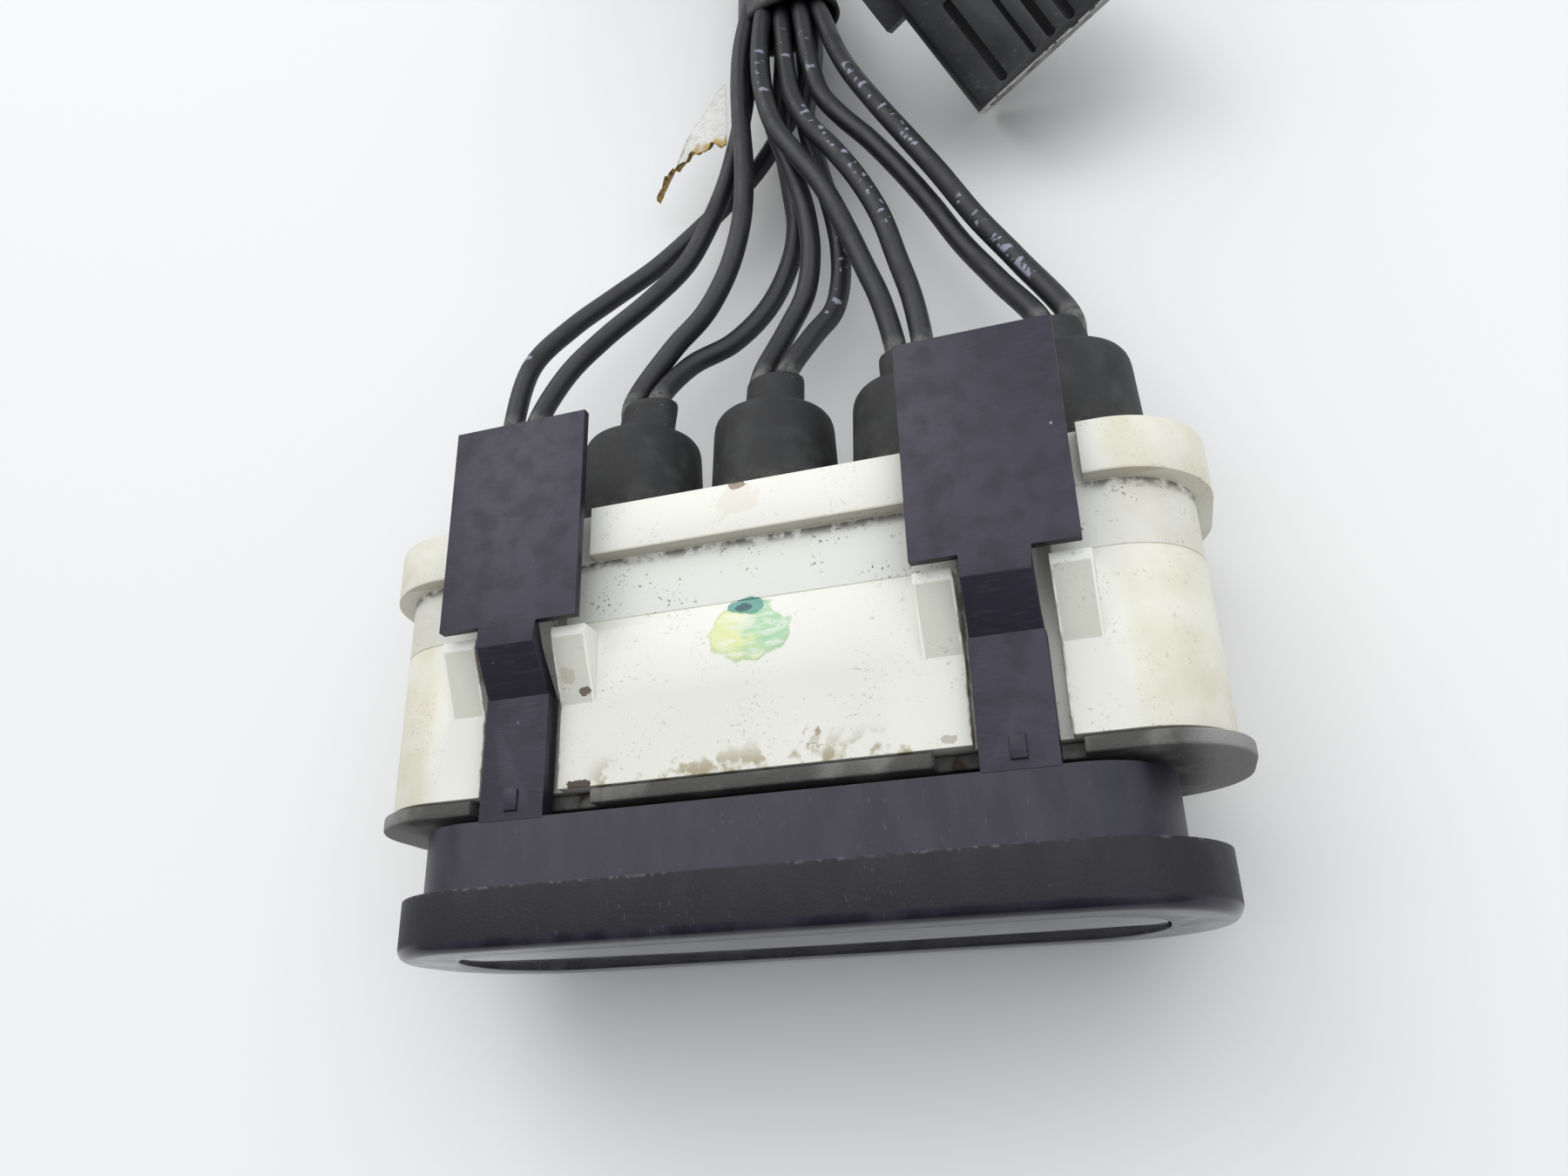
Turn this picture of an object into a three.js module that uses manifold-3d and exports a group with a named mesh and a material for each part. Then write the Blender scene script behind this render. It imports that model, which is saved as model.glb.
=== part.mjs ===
// Warning-lamp cluster for a dashboard: a black snap-in bezel with four latch arms, a cream lamp
// housing with five rubber-booted lamps, and a ten-wire harness that ends in a ribbed plug.
// Millimetres, +Z up. The lens looks along -Y, the harness leaves along +Y, X is the long side.
import * as THREE from 'three';
import { mergeVertices } from 'three/addons/utils/BufferGeometryUtils.js';
import Module from 'manifold-3d';

const wasm = await Module();
wasm.setup();

// ---- Driving dimensions. y counts from the bezel's front face and z from the cluster's mid-plane.
const GAP = 0.3; // clearance between pieces that touch
const BEZEL = { halfWidth: 50, halfHeight: 16.5, corner: 15, depth: 7, edge: 1.5 };
const NECK = { halfWidth: 45.5, halfHeight: 15.25, corner: 10, rear: 14.9 };
const LENS = { halfWidth: 42.2, halfHeight: 10.8, corner: 9.8, front: 0.5, rear: 2.5 };
const TUNNEL = { halfWidth: 40.5, halfHeight: 9.2, corner: 8.5 }; // light passage through the neck
const FILTER = { halfWidth: 43.2, halfHeight: 11, corner: 9, front: 9.5, rear: 10.9 };
const GASKET = { halfWidth: 54, halfHeight: 13.6, corner: 11, front: 16.2, rear: 18.0 };
const GASKET_HOLE = { halfWidth: 43, halfHeight: 9.6, corner: 9 };
const NOTCH = { inner: 20.5, outer: 36.5, floor: 11.2 }; // where the arms pass the gasket
const HOUSING = { halfWidth: 52.4, halfHeight: 13.4, corner: 10, front: 18.3, rear: 54.1 };
const LIP = { halfWidth: 54.5, halfHeight: 15.6, corner: 12, front: 47.4, inner: 20.8, outer: 40.2 };
const CHANNEL = { inner: 24.9, outer: 35.5, floor: 11.6 };
const WEDGE = { width: 4.6, toe: 28.5, crest: 36.4, rear: 37.7, height: 17.0 };
const ARM = { centre: 29.87, width: 8.5, top: 15.3, under: 12.7, rampStart: 29.8, rampEnd: 35.4 };
const PAD = { width: 18.9, tab: 7.9, front: 38.1, rear: 66.8, top: 19.3, under: 18.1 };
const HOOK = { width: 7.6, front: 54.4, rear: 57.2, tip: 9.9 };
const LAMPS = 5;
const LAMP_PITCH = 20.2;
const LAMP_SHIFT = -0.7;
const CHAMBER = { radius: 8.4, rear: 42 };
const SOCKET_BORE = 7.3;
const HOLDER = { radius: 7.0, front: 43, rear: 67.5, pocket: 5.3, pocketDepth: 7 };
const BOOT = { radius: 9.1, waist: 8.6, front: 54.4, shoulder: 69, top: 71.3, nippleTop: 78.3 };
const NIPPLE = { halfWidth: 4.4, halfHeight: 3.1 };
const BULB = { base: 4.6, glass: 5.0, tip: 26.5, rear: 49.7 };
const WIRE_RADIUS = 1.6;
const SLEEVE_RADIUS = 7;
const PLUG = { width: 36, length: 42, height: 17, pitch: 40, roll: 20.5, yaw: 20.2, ways: 6, rows: 2 };
const PLUG_CORNER = [32.8, 137.1, 0]; // lowest corner of the mating end, on the table

// ---- Solids
function toSolid(geometry) {
  const bare = geometry.clone();
  bare.deleteAttribute('normal');
  bare.deleteAttribute('uv');
  const welded = mergeVertices(bare, 1e-4);
  const corners = welded.index.array;
  const kept = [];
  for (let i = 0; i < corners.length; i += 3) {
    const [a, b, c] = [corners[i], corners[i + 1], corners[i + 2]];
    if (a !== b && b !== c && c !== a) kept.push(a, b, c);
  }
  return new wasm.Manifold(new wasm.Mesh({
    numProp: 3,
    vertProperties: new Float32Array(welded.attributes.position.array),
    triVerts: new Uint32Array(kept),
  }));
}

function toGeometry(solid) {
  const mesh = solid.getMesh();
  const geometry = new THREE.BufferGeometry();
  geometry.setAttribute('position', new THREE.BufferAttribute(mesh.vertProperties, 3));
  geometry.setIndex(new THREE.BufferAttribute(mesh.triVerts, 1));
  geometry.computeVertexNormals();
  return geometry;
}

function join(...geometries) {
  return toGeometry(geometries.map(toSolid).reduce((sum, next) => sum.add(next)));
}

function cut(geometry, ...tools) {
  return toGeometry(tools.map(toSolid).reduce((rest, tool) => rest.subtract(tool), toSolid(geometry)));
}

function common(geometry, other) {
  return toGeometry(toSolid(geometry).intersect(toSolid(other)));
}

function box(x0, x1, y0, y1, z0, z1) {
  const geometry = new THREE.BoxGeometry(x1 - x0, y1 - y0, z1 - z0);
  return geometry.translate((x0 + x1) / 2, (y0 + y1) / 2, (z0 + z1) / 2);
}

function roundedOutline({ halfWidth, halfHeight, corner }) {
  const shape = new THREE.Shape();
  const x = halfWidth - corner;
  const z = halfHeight - corner;
  const quarter = Math.PI / 2;
  shape.absarc(x, -z, corner, -quarter, 0);
  shape.absarc(x, z, corner, 0, quarter);
  shape.absarc(-x, z, corner, quarter, 2 * quarter);
  shape.absarc(-x, -z, corner, 2 * quarter, 3 * quarter);
  shape.closePath();
  return shape;
}

// A flat outline in X and Z, drawn out along Y.
function alongY(shape, front, rear, options = {}) {
  const geometry = new THREE.ExtrudeGeometry(shape, {
    depth: rear - front, bevelEnabled: false, curveSegments: 4, ...options,
  });
  return geometry.rotateX(Math.PI / 2).translate(0, rear, 0);
}

// A side view in Y and Z, drawn out along X about a centre.
function alongX(points, centre, width) {
  const shape = new THREE.Shape(points.map(([y, z]) => new THREE.Vector2(y, z)));
  const geometry = new THREE.ExtrudeGeometry(shape, { depth: width, bevelEnabled: false });
  const turn = new THREE.Matrix4().makeBasis(
    new THREE.Vector3(0, 1, 0), new THREE.Vector3(0, 0, 1), new THREE.Vector3(1, 0, 0));
  return geometry.applyMatrix4(turn).translate(centre - width / 2, 0, 0);
}

// A profile of [radius, y] pairs, turned about Y. It runs from the front of the axis to the rear.
function turned(profile, sides) {
  return new THREE.LatheGeometry(profile.map(([r, y]) => new THREE.Vector2(r, y)), sides);
}

function rod(radius, front, rear, x, sides = 20) {
  const geometry = new THREE.CylinderGeometry(radius, radius, rear - front, sides);
  return geometry.translate(x, (front + rear) / 2, 0);
}

function tube(points, radius, sides, steps) {
  const path = new THREE.CatmullRomCurve3(points.map((p) => new THREE.Vector3(...p)));
  const section = new THREE.Shape();
  section.absarc(0, 0, radius, 0, 2 * Math.PI);
  return new THREE.ExtrudeGeometry(section, { steps, extrudePath: path, curveSegments: sides / 2 });
}

// ---- Finishes
const blackPlastic = { color: 0x1b1b1f, roughness: 0.45, metalness: 0 };
const texturedPlastic = { color: 0x1d1d1f, roughness: 0.62, metalness: 0 };
const creamPlastic = { color: 0xe6e5da, roughness: 0.48, metalness: 0 };
const rubber = { color: 0x2a2a2b, roughness: 0.8, metalness: 0 };
const foam = { color: 0x55554f, roughness: 0.95, metalness: 0 };
const insulation = { color: 0x26262a, roughness: 0.5, metalness: 0 };
const vinyl = { color: 0x202022, roughness: 0.55, metalness: 0 };
const clear = { color: 0xc9cdd0, roughness: 0.1, metalness: 0 };
const filterFilm = { color: 0xb98a3a, roughness: 0.35, metalness: 0 };
const brass = { color: 0xb08d4a, roughness: 0.35, metalness: 1 };
const paper = { color: 0xdcd6b8, roughness: 0.9, metalness: 0 };

const part = new THREE.Group();
const cluster = new THREE.Group();
cluster.position.set(0, -BOOT.nippleTop / 2, PAD.top);
part.add(cluster);

function place(name, geometry, finish, parent = cluster) {
  const mesh = new THREE.Mesh(geometry, new THREE.MeshStandardMaterial(finish));
  mesh.name = name;
  parent.add(mesh);
  return mesh;
}

// ---- Bezel: one moulding of flange and neck, with a seat for the lens and one for the filter plate
function bezel() {
  const flange = common(
    alongY(roundedOutline(BEZEL), BEZEL.edge, BEZEL.depth + BEZEL.edge, {
      bevelEnabled: true, bevelThickness: BEZEL.edge, bevelSize: BEZEL.edge,
      bevelOffset: -BEZEL.edge, bevelSegments: 2, curveSegments: 4,
    }),
    box(-60, 60, -1, BEZEL.depth, -20, 20));
  const neck = alongY(roundedOutline(NECK), BEZEL.depth - 1, NECK.rear);
  const grow = (seat) => ({
    halfWidth: seat.halfWidth + GAP, halfHeight: seat.halfHeight + GAP, corner: seat.corner + GAP,
  });
  return cut(
    join(flange, neck),
    alongY(roundedOutline(grow(LENS)), -1, LENS.rear + GAP),
    alongY(roundedOutline(TUNNEL), 0, NECK.rear + 1),
    alongY(roundedOutline(grow(FILTER)), FILTER.front - GAP, NECK.rear + 1));
}

// ---- Lamp housing: a cream block with a lip, arm channels, wedges, chambers and socket bores
function lampCentres() {
  return Array.from({ length: LAMPS }, (_, i) => LAMP_SHIFT + (i - (LAMPS - 1) / 2) * LAMP_PITCH);
}

function wedge(centre) {
  const root = CHANNEL.floor;
  return alongX(
    [[WEDGE.toe, root], [WEDGE.rear, root], [WEDGE.rear, WEDGE.height - 0.4],
      [WEDGE.crest + 0.6, WEDGE.height], [WEDGE.crest, WEDGE.height - 0.2],
      [WEDGE.toe, HOUSING.halfHeight]],
    centre, WEDGE.width);
}

function lampHousing() {
  const innerWedge = CHANNEL.inner - WEDGE.width / 2;
  const outerWedge = CHANNEL.outer + WEDGE.width / 2;
  const wedges = [-outerWedge, -innerWedge, innerWedge, outerWedge].flatMap((x) => [
    wedge(x),
    wedge(-x).rotateY(Math.PI),
  ]);
  const block = join(
    alongY(roundedOutline(HOUSING), HOUSING.front, HOUSING.rear),
    cut(alongY(roundedOutline(LIP), LIP.front, HOUSING.rear),
      ...[-1, 1].flatMap((side) => [-1, 1].map((face) => box(
        side > 0 ? LIP.inner : -LIP.outer, side > 0 ? LIP.outer : -LIP.inner,
        LIP.front - 1, HOUSING.rear + 1,
        face > 0 ? HOUSING.halfHeight : -20, face > 0 ? 20 : -HOUSING.halfHeight)))),
    ...wedges);
  const channels = [-1, 1].flatMap((side) => [-1, 1].map((face) => box(
    side > 0 ? CHANNEL.inner : -CHANNEL.outer, side > 0 ? CHANNEL.outer : -CHANNEL.inner,
    HOUSING.front - 1, HOUSING.rear + 1,
    face > 0 ? CHANNEL.floor : -25, face > 0 ? 25 : -CHANNEL.floor)));
  const chambers = lampCentres().flatMap((x) => [
    rod(CHAMBER.radius, HOUSING.front - 1, CHAMBER.rear, x),
    rod(SOCKET_BORE, CHAMBER.rear - 1, HOUSING.rear + 1, x),
  ]);
  return cut(block, ...channels, ...chambers);
}

// ---- Gasket: a flat foam ring between housing and dash panel, notched for the arms
function gasket() {
  const notches = [-1, 1].flatMap((side) => [-1, 1].map((face) => box(
    side > 0 ? NOTCH.inner : -NOTCH.outer, side > 0 ? NOTCH.outer : -NOTCH.inner,
    GASKET.front - 1, GASKET.rear + 1,
    face > 0 ? NOTCH.floor : -20, face > 0 ? 20 : -NOTCH.floor)));
  return cut(
    alongY(roundedOutline(GASKET), GASKET.front, GASKET.rear),
    alongY(roundedOutline(GASKET_HOLE), GASKET.front - 1, GASKET.rear + 1),
    ...notches);
}

// ---- Latch arm: a strip from the neck, a ramp outwards, a wide finger pad and a hook beneath it
function latchArm(side) {
  const centre = side * ARM.centre;
  const root = NECK.rear + GAP;
  const strip = alongX(
    [[root, ARM.under], [ARM.rampStart + 1.6, ARM.under], [PAD.front, PAD.under], [PAD.front + 4, PAD.under],
      [PAD.front + 4, PAD.top], [ARM.rampEnd, PAD.top], [ARM.rampStart, ARM.top], [root, ARM.top]],
    centre, PAD.tab);
  const wideStrip = alongX(
    [[root, ARM.under], [ARM.rampStart, ARM.under], [ARM.rampStart, ARM.top], [root, ARM.top]],
    centre, ARM.width);
  const pad = box(
    centre - PAD.width / 2, centre + PAD.width / 2, PAD.front, PAD.rear, PAD.under, PAD.top);
  const hook = alongX(
    [[HOOK.front, HOOK.tip + 0.6], [HOOK.front + 0.6, HOOK.tip], [HOOK.rear, HOOK.tip + 1.2],
      [HOOK.rear, PAD.under + 1], [HOOK.front, PAD.under + 1]],
    centre, HOOK.width);
  const stud = box(centre - 0.9, centre + 0.9, root + 0.6, root + 3.2, ARM.top - 0.5, ARM.top + 0.35);
  return join(strip, wideStrip, pad, hook, stud);
}

// ---- Lamp: a wedge-base bulb in its holder, under a rubber boot
function boot(x) {
  const skin = turned(
    [[0, BOOT.front], [BOOT.radius, BOOT.front], [BOOT.radius, BOOT.front + 5],
      [BOOT.waist, BOOT.shoulder - 1],
      [BOOT.waist - 0.5, BOOT.shoulder + 0.8], [BOOT.waist - 2.4, BOOT.top], [0, BOOT.top]],
    24);
  const ellipse = new THREE.Shape();
  ellipse.absellipse(0, 0, NIPPLE.halfWidth, NIPPLE.halfHeight, 0, 2 * Math.PI);
  const nipple = alongY(ellipse, BOOT.top - 1, BOOT.nippleTop, { curveSegments: 8 });
  const hollow = rod(HOLDER.radius + GAP, BOOT.front - 1, HOLDER.rear + GAP, 0);
  return cut(join(skin, nipple), hollow).translate(x, 0, 0);
}

function lampHolder(x) {
  const body = rod(HOLDER.radius, HOLDER.front, HOLDER.rear, x);
  const pocket = rod(HOLDER.pocket, HOLDER.front - 1, HOLDER.front + HOLDER.pocketDepth, x, 16);
  return cut(body, pocket);
}

function bulb(x) {
  const glassRear = HOLDER.front - 1;
  return turned(
    [[0, BULB.tip], [2.4, BULB.tip + 0.7], [4.2, BULB.tip + 2.6], [BULB.glass, BULB.tip + 5.5],
      [BULB.glass, glassRear - 3], [BULB.base, glassRear], [BULB.base, BULB.rear], [0, BULB.rear]],
    14).translate(x, 0, 0);
}

place('bezel', bezel(), texturedPlastic);
place('lens', alongY(roundedOutline(LENS), LENS.front, LENS.rear), clear);
place('filter_plate', alongY(roundedOutline(FILTER), FILTER.front, FILTER.rear), filterFilm);
place('gasket', gasket(), foam);
place('lamp_housing', lampHousing(), creamPlastic);
for (const [name, side] of [['left', -1], ['right', 1]]) {
  place(`latch_arm_top_${name}`, latchArm(side), blackPlastic);
  place(`latch_arm_bottom_${name}`, latchArm(-side), blackPlastic).rotation.y = Math.PI;
}
lampCentres().forEach((x, i) => {
  place(`boot_${i + 1}`, boot(x), rubber);
  place(`lamp_holder_${i + 1}`, lampHolder(x), blackPlastic);
  place(`bulb_${i + 1}`, bulb(x), clear);
});

// ---- Harness: ten wires from the boots' nipples to the mouth of the sleeve
const WIRES = {
  wire_1a: [[-43.1, 79.6, 0], [-41.3, 91.5, -1.5], [-35.9, 99.2, -3.9], [-29.6, 105.4, -6.3],
    [-23.5, 110.8, -8.2], [-17.9, 116.7, -9.7], [-12.5, 123.5, -11.5], [-7.4, 131.4, -13.8],
    [-3.3, 139, -14.9], [1.4, 148, -15], [2.2, 159, -15]],
  wire_1b: [[-39.1, 79.6, 0], [-35.2, 88.7, -1.9], [-29.4, 94.9, -2.8], [-22.5, 101, -4],
    [-16.7, 107.6, -5.3], [-13.2, 114.8, -6], [-10.6, 122.9, -7], [-8.9, 132.7, -8.4],
    [-8, 144, -10.6], [-8.2, 157.6, -11.7]],
  wire_2a: [[-22.8, 79.6, 0], [-17, 89, -1.5], [-12, 94.7, -2], [-8.1, 101.6, -1.7],
    [-5.8, 110, -1.5], [-5.5, 121.8, -2.5], [-6.6, 134.2, -4.5], [-7.4, 146, -6.4],
    [-7.9, 157.6, -7]],
  wire_2b: [[-18.9, 79.6, 0], [-14.9, 86.6, -3.4], [-8.9, 91.1, -6], [-3.6, 97, -7.2],
    [-0.2, 104, -7.7], [1.2, 112, -8.5], [0.2, 122.4, -9.6], [-1.6, 136, -11.1], [-1.4, 147, -11.7],
    [-0.9, 158.6, -11.8]],
  wire_3a: [[-2.6, 79.6, 0], [0.6, 88.6, -3], [3.5, 96, -4.3], [4.6, 103.1, -4.2],
    [4.1, 111.1, -4.5], [2.2, 119.9, -5.6], [-1, 131.4, -6.6], [-3.6, 144, -8.5],
    [-5, 158, -9.5]],
  wire_3b: [[1.2, 79.6, 0], [4.9, 87, -2.8], [7.6, 92, -4.8], [8.7, 98.2, -6], [8.7, 105.5, -6.7],
    [7.8, 112.6, -7.1], [5.6, 123.7, -7.9], [3.4, 136, -9.4], [4.4, 148, -11.6], [5, 159.3, -12.3]],
  wire_4a: [[17.6, 79.6, 0], [15.8, 88.7, -0.3], [13.7, 95.6, -0.6], [11.1, 103.9, -0.9],
    [7.6, 113.6, -1.4], [3.4, 121.8, -1.9], [0, 128.9, -2.3], [-2.3, 138.5, -3.5],
    [-3.3, 148, -5.2], [-3.6, 158.2, -6]],
  wire_4b: [[21.4, 79.6, 0], [20.4, 87.8, -0.2], [18.7, 95.4, -0.2], [16.7, 103.9, -0.2],
    [13.4, 112.6, -0.6], [9.8, 120, -1.4], [5.8, 127.5, -2.8], [2.4, 137, -5], [0.8, 148, -7.2],
    [0.2, 158.7, -8]],
  wire_5a: [[37.8, 79.6, 0], [32.4, 89.9, -2.8], [27.8, 99, -4.5], [23.7, 108.1, -5.1],
    [19.3, 116.7, -5.4], [14.7, 124.8, -5.8], [10.3, 131.6, -6.3], [7, 138, -6.8], [4.9, 148, -7.6],
    [4, 159.2, -7.9]],
  wire_5b: [[41.7, 79.6, 0], [35.6, 92, -2.2], [30.4, 101.4, -2.3], [25.8, 110.8, -2],
    [21.4, 119.7, -2.5], [16.6, 130.1, -4.1], [11.8, 142, -6.6], [9.3, 150, -7.9],
    [8.4, 159.8, -8.2]],
};
for (const [name, route] of Object.entries(WIRES)) {
  place(name, tube(route, WIRE_RADIUS, 8, 14), insulation);
}

// ---- Sleeve: vinyl tubing that carries the ten wires round to the plug
const SLEEVE_ROUTE = [[0.6, 160.5, -10.7], [-0.2, 171, -11.4], [0.6, 184, -12], [4, 200, -12.2],
  [9, 216, -12.2], [15, 232, -12.2], [19.8, 248, -12.2], [21, 264, -12.2], [17.2, 278.3, -12.2],
  [6.8, 288.7, -12.2], [-7.5, 292.5, -12.2], [-21.8, 288.7, -12.2], [-32.2, 278.3, -12.2],
  [-36, 264, -12.2], [-34.6, 252.5, -12], [-29.4, 241.7, -10], [-22.2, 232, -4.5], [-15.6, 223.2, 5],
  [-9.7, 215.2, 15.3], [-3.7, 207.1, 25.2], [2.2, 199.1, 32], [8.2, 191.1, 34.8], [13, 184.6, 34],
  [17.7, 178.2, 31], [22.4, 172, 26]];
place('sleeve', tube(SLEEVE_ROUTE, SLEEVE_RADIUS, 12, 44), vinyl);

// ---- Tag: a stiff flag of paper tape, caught between the wires
function tag() {
  const thickness = 0.5;
  const upper = [[-26, -15.2], [-23.4, -12], [-18.4, -8.8], [-14.6, -7.2], [-11.4, -6.2]];
  const lower = upper.map(([x, z]) => [x + thickness * 0.6, z - thickness]).reverse();
  const shape = new THREE.Shape([...upper, ...lower].map(([x, z]) => new THREE.Vector2(x, z)));
  return alongY(shape, 131, 145);
}
place('tag', tag(), paper);

// ---- Plug: a ribbed housing with a grid of ways, its contacts, a wire seal, a rear cover and a latch
const plug = new THREE.Group();
plug.position.set(PLUG_CORNER[0], PLUG_CORNER[1], PLUG_CORNER[2] - PAD.top);
plug.rotation.set(
  THREE.MathUtils.degToRad(PLUG.pitch), -THREE.MathUtils.degToRad(PLUG.roll),
  THREE.MathUtils.degToRad(PLUG.yaw), 'ZYX');
cluster.add(plug);

const WAY = { size: 2.5, pitchX: 5.2, pitchZ: 5.6 };
const GRID = { rear: 2.6, inset: 2.2 };
const POCKET = { front: 34, wall: 2.4, sealDepth: 4 };
const GROOVE = { halfWidth: 0.7, depth: 1.5, front: 1.2 };
const GROOVES = [[-11.8, 16], [-6.1, 30], [-2.7, 30], [0.85, 30], [4.4, 30], [11.8, 16]]; // x, rear end
const LUG = { reach: 3.4, front: 19.4, rear: 27.5, low: -0.5, high: 5 };
const COVER = { front: PLUG.length + GAP, rear: PLUG.length + 4, collar: 8.6, collarRear: 54 };

function plugOutline(inset) {
  return roundedOutline({
    halfWidth: PLUG.width / 2 - inset, halfHeight: PLUG.height / 2 - inset, corner: 2.6 - inset,
  });
}

function centred(geometry) {
  return geometry.translate(PLUG.width / 2, 0, PLUG.height / 2);
}

function wayCentres() {
  return Array.from({ length: PLUG.ways * PLUG.rows }, (_, i) => [
    ((i % PLUG.ways) - (PLUG.ways - 1) / 2) * WAY.pitchX,
    (Math.floor(i / PLUG.ways) - (PLUG.rows - 1) / 2) * WAY.pitchZ,
  ]);
}

function post(x, z, size, front, rear) {
  return box(x - size / 2, x + size / 2, front, rear, z - size / 2, z + size / 2);
}

function plugHousing() {
  const shell = join(
    alongY(plugOutline(0), 0, PLUG.length),
    box(-PLUG.width / 2 - LUG.reach, -PLUG.width / 2 + 1, LUG.front, LUG.rear, LUG.low, LUG.high));
  const ribGaps = GROOVES.map(([x, rear]) => box(
    x - GROOVE.halfWidth, x + GROOVE.halfWidth, GROOVE.front, rear,
    PLUG.height / 2 - GROOVE.depth, PLUG.height / 2 + 1));
  const recess = alongY(plugOutline(GRID.inset - GAP), -1, GRID.rear + GAP);
  const ways = wayCentres().map(([x, z]) => post(x, z, WAY.size, 0, POCKET.front + 1));
  const inner = PLUG.width / 2 - POCKET.wall;
  const innerZ = PLUG.height / 2 - POCKET.wall;
  const pocket = box(-inner, inner, POCKET.front, PLUG.length + 1, -innerZ, innerZ);
  return centred(cut(shell, recess, ...ribGaps, ...ways, pocket));
}

function plugGrid() {
  const ways = wayCentres().map(([x, z]) => post(x, z, WAY.size - 0.6, -1, GRID.rear + 1));
  return centred(cut(alongY(plugOutline(GRID.inset), 0, GRID.rear), ...ways));
}

function plugSeal() {
  const inset = POCKET.wall + GAP;
  return centred(box(
    -PLUG.width / 2 + inset, PLUG.width / 2 - inset, POCKET.front + GAP,
    POCKET.front + POCKET.sealDepth, -PLUG.height / 2 + inset, PLUG.height / 2 - inset));
}

function plugRearCover() {
  const inset = POCKET.wall + GAP;
  const spigot = box(
    -PLUG.width / 2 + inset, PLUG.width / 2 - inset, POCKET.front + POCKET.sealDepth + GAP,
    COVER.front + 1, -PLUG.height / 2 + inset, PLUG.height / 2 - inset);
  const plate = alongY(plugOutline(0.4), COVER.front, COVER.rear);
  const collar = rod(COVER.collar, COVER.rear - 1, COVER.collarRear, 0, 16);
  return centred(join(spigot, plate, collar));
}

function plugLatch() {
  const under = -PLUG.height / 2 - GAP;
  return centred(alongX(
    [[6, under - 1.6], [9, under - 3.3], [11, under - 1.6], [30, under - 1.6], [30, under],
      [6, under]],
    0, 8));
}

place('plug_housing', plugHousing(), blackPlastic, plug);
place('plug_grid', plugGrid(), blackPlastic, plug);
place('plug_seal', plugSeal(), rubber, plug);
place('plug_rear_cover', plugRearCover(), blackPlastic, plug);
place('plug_latch', plugLatch(), blackPlastic, plug);
wayCentres().slice(1, -1).forEach(([x, z], i) => {
  const contact = post(x, z, WAY.size - 2 * GAP, 4, 22);
  place(`plug_contact_${i + 1}`, centred(contact), brass, plug);
});

export default part;
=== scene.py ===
"""A dashboard warning-lamp cluster lying on a table with its harness."""
import math

import bmesh
import bpy
from mathutils import Euler, Matrix, Vector


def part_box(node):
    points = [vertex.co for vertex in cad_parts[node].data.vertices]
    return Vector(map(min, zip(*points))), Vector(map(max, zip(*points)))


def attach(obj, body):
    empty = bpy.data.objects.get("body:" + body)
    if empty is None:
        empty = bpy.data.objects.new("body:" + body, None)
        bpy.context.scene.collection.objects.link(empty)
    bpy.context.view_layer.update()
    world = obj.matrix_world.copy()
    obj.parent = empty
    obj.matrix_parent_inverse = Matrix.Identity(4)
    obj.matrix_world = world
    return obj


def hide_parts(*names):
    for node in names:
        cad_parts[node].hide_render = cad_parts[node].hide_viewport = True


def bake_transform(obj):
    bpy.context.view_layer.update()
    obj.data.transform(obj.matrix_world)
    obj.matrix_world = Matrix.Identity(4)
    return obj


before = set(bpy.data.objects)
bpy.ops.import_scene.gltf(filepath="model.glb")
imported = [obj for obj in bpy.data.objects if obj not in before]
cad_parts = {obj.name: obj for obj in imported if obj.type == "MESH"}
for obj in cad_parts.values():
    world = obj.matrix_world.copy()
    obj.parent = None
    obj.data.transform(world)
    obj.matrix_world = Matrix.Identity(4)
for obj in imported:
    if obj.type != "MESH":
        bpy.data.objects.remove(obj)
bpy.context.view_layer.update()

# ---- Camera, table and light.
# The cluster lies on a pale table under broad, soft room light. It is seen from above its lens end,
# a little from the right, by a wide lens close by.
MM = 0.001
face_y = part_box("bezel")[0].y
middle_z = (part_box("bezel")[0].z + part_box("bezel")[1].z) / 2


def at(x, y, z):
    """Millimetres across, behind the bezel's face and above the middle, as a place in the frame."""
    return Vector((x * MM, face_y + y * MM, middle_z + z * MM))


camera = bpy.data.objects.new("camera", bpy.data.cameras.new("camera"))
camera.data.sensor_width = 36
camera.data.lens = 26.27
camera.data.clip_start = 0.005
camera.location = at(41.4, -14.0, 133.8)
camera.rotation_euler = Euler([math.radians(turn) for turn in (22.68, 17.82, -1.59)])
bpy.context.scene.collection.objects.link(camera)
bpy.context.scene.camera = camera

bpy.ops.object.select_all(action="DESELECT")
bpy.ops.mesh.primitive_plane_add(size=6, location=(0, 0, -0.0002))
table = bpy.context.object
table.name = "table"
table_paint = bpy.data.materials.new("table_paint")
table_paint.use_nodes = True
table_shader = table_paint.node_tree.nodes["Principled BSDF"]
table_shader.inputs["Base Color"].default_value = (0.79, 0.79, 0.78, 1)
table_shader.inputs["Roughness"].default_value = 0.6
table_shader.inputs["Specular IOR Level"].default_value = 0.2
table.data.materials.append(table_paint)
bpy.context.scene.view_settings.view_transform = "Standard"

world = bpy.data.worlds.new("room")
bpy.context.scene.world = world
world.use_nodes = True
room = world.node_tree
direction = room.nodes.new("ShaderNodeTexCoord")


def sky_band(axis, low, high, dim, bright):
    """From dim to bright as the direction turns towards an axis."""
    facing = room.nodes.new("ShaderNodeVectorMath")
    facing.operation = "DOT_PRODUCT"
    facing.inputs[1].default_value = axis
    room.links.new(direction.outputs["Generated"], facing.inputs[0])
    band = room.nodes.new("ShaderNodeMapRange")
    band.interpolation_type = "SMOOTHSTEP"
    for socket, value in (("From Min", low), ("From Max", high), ("To Min", dim), ("To Max", bright)):
        band.inputs[socket].default_value = value
    room.links.new(facing.outputs["Value"], band.inputs["Value"])
    return band.outputs["Result"]


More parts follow.
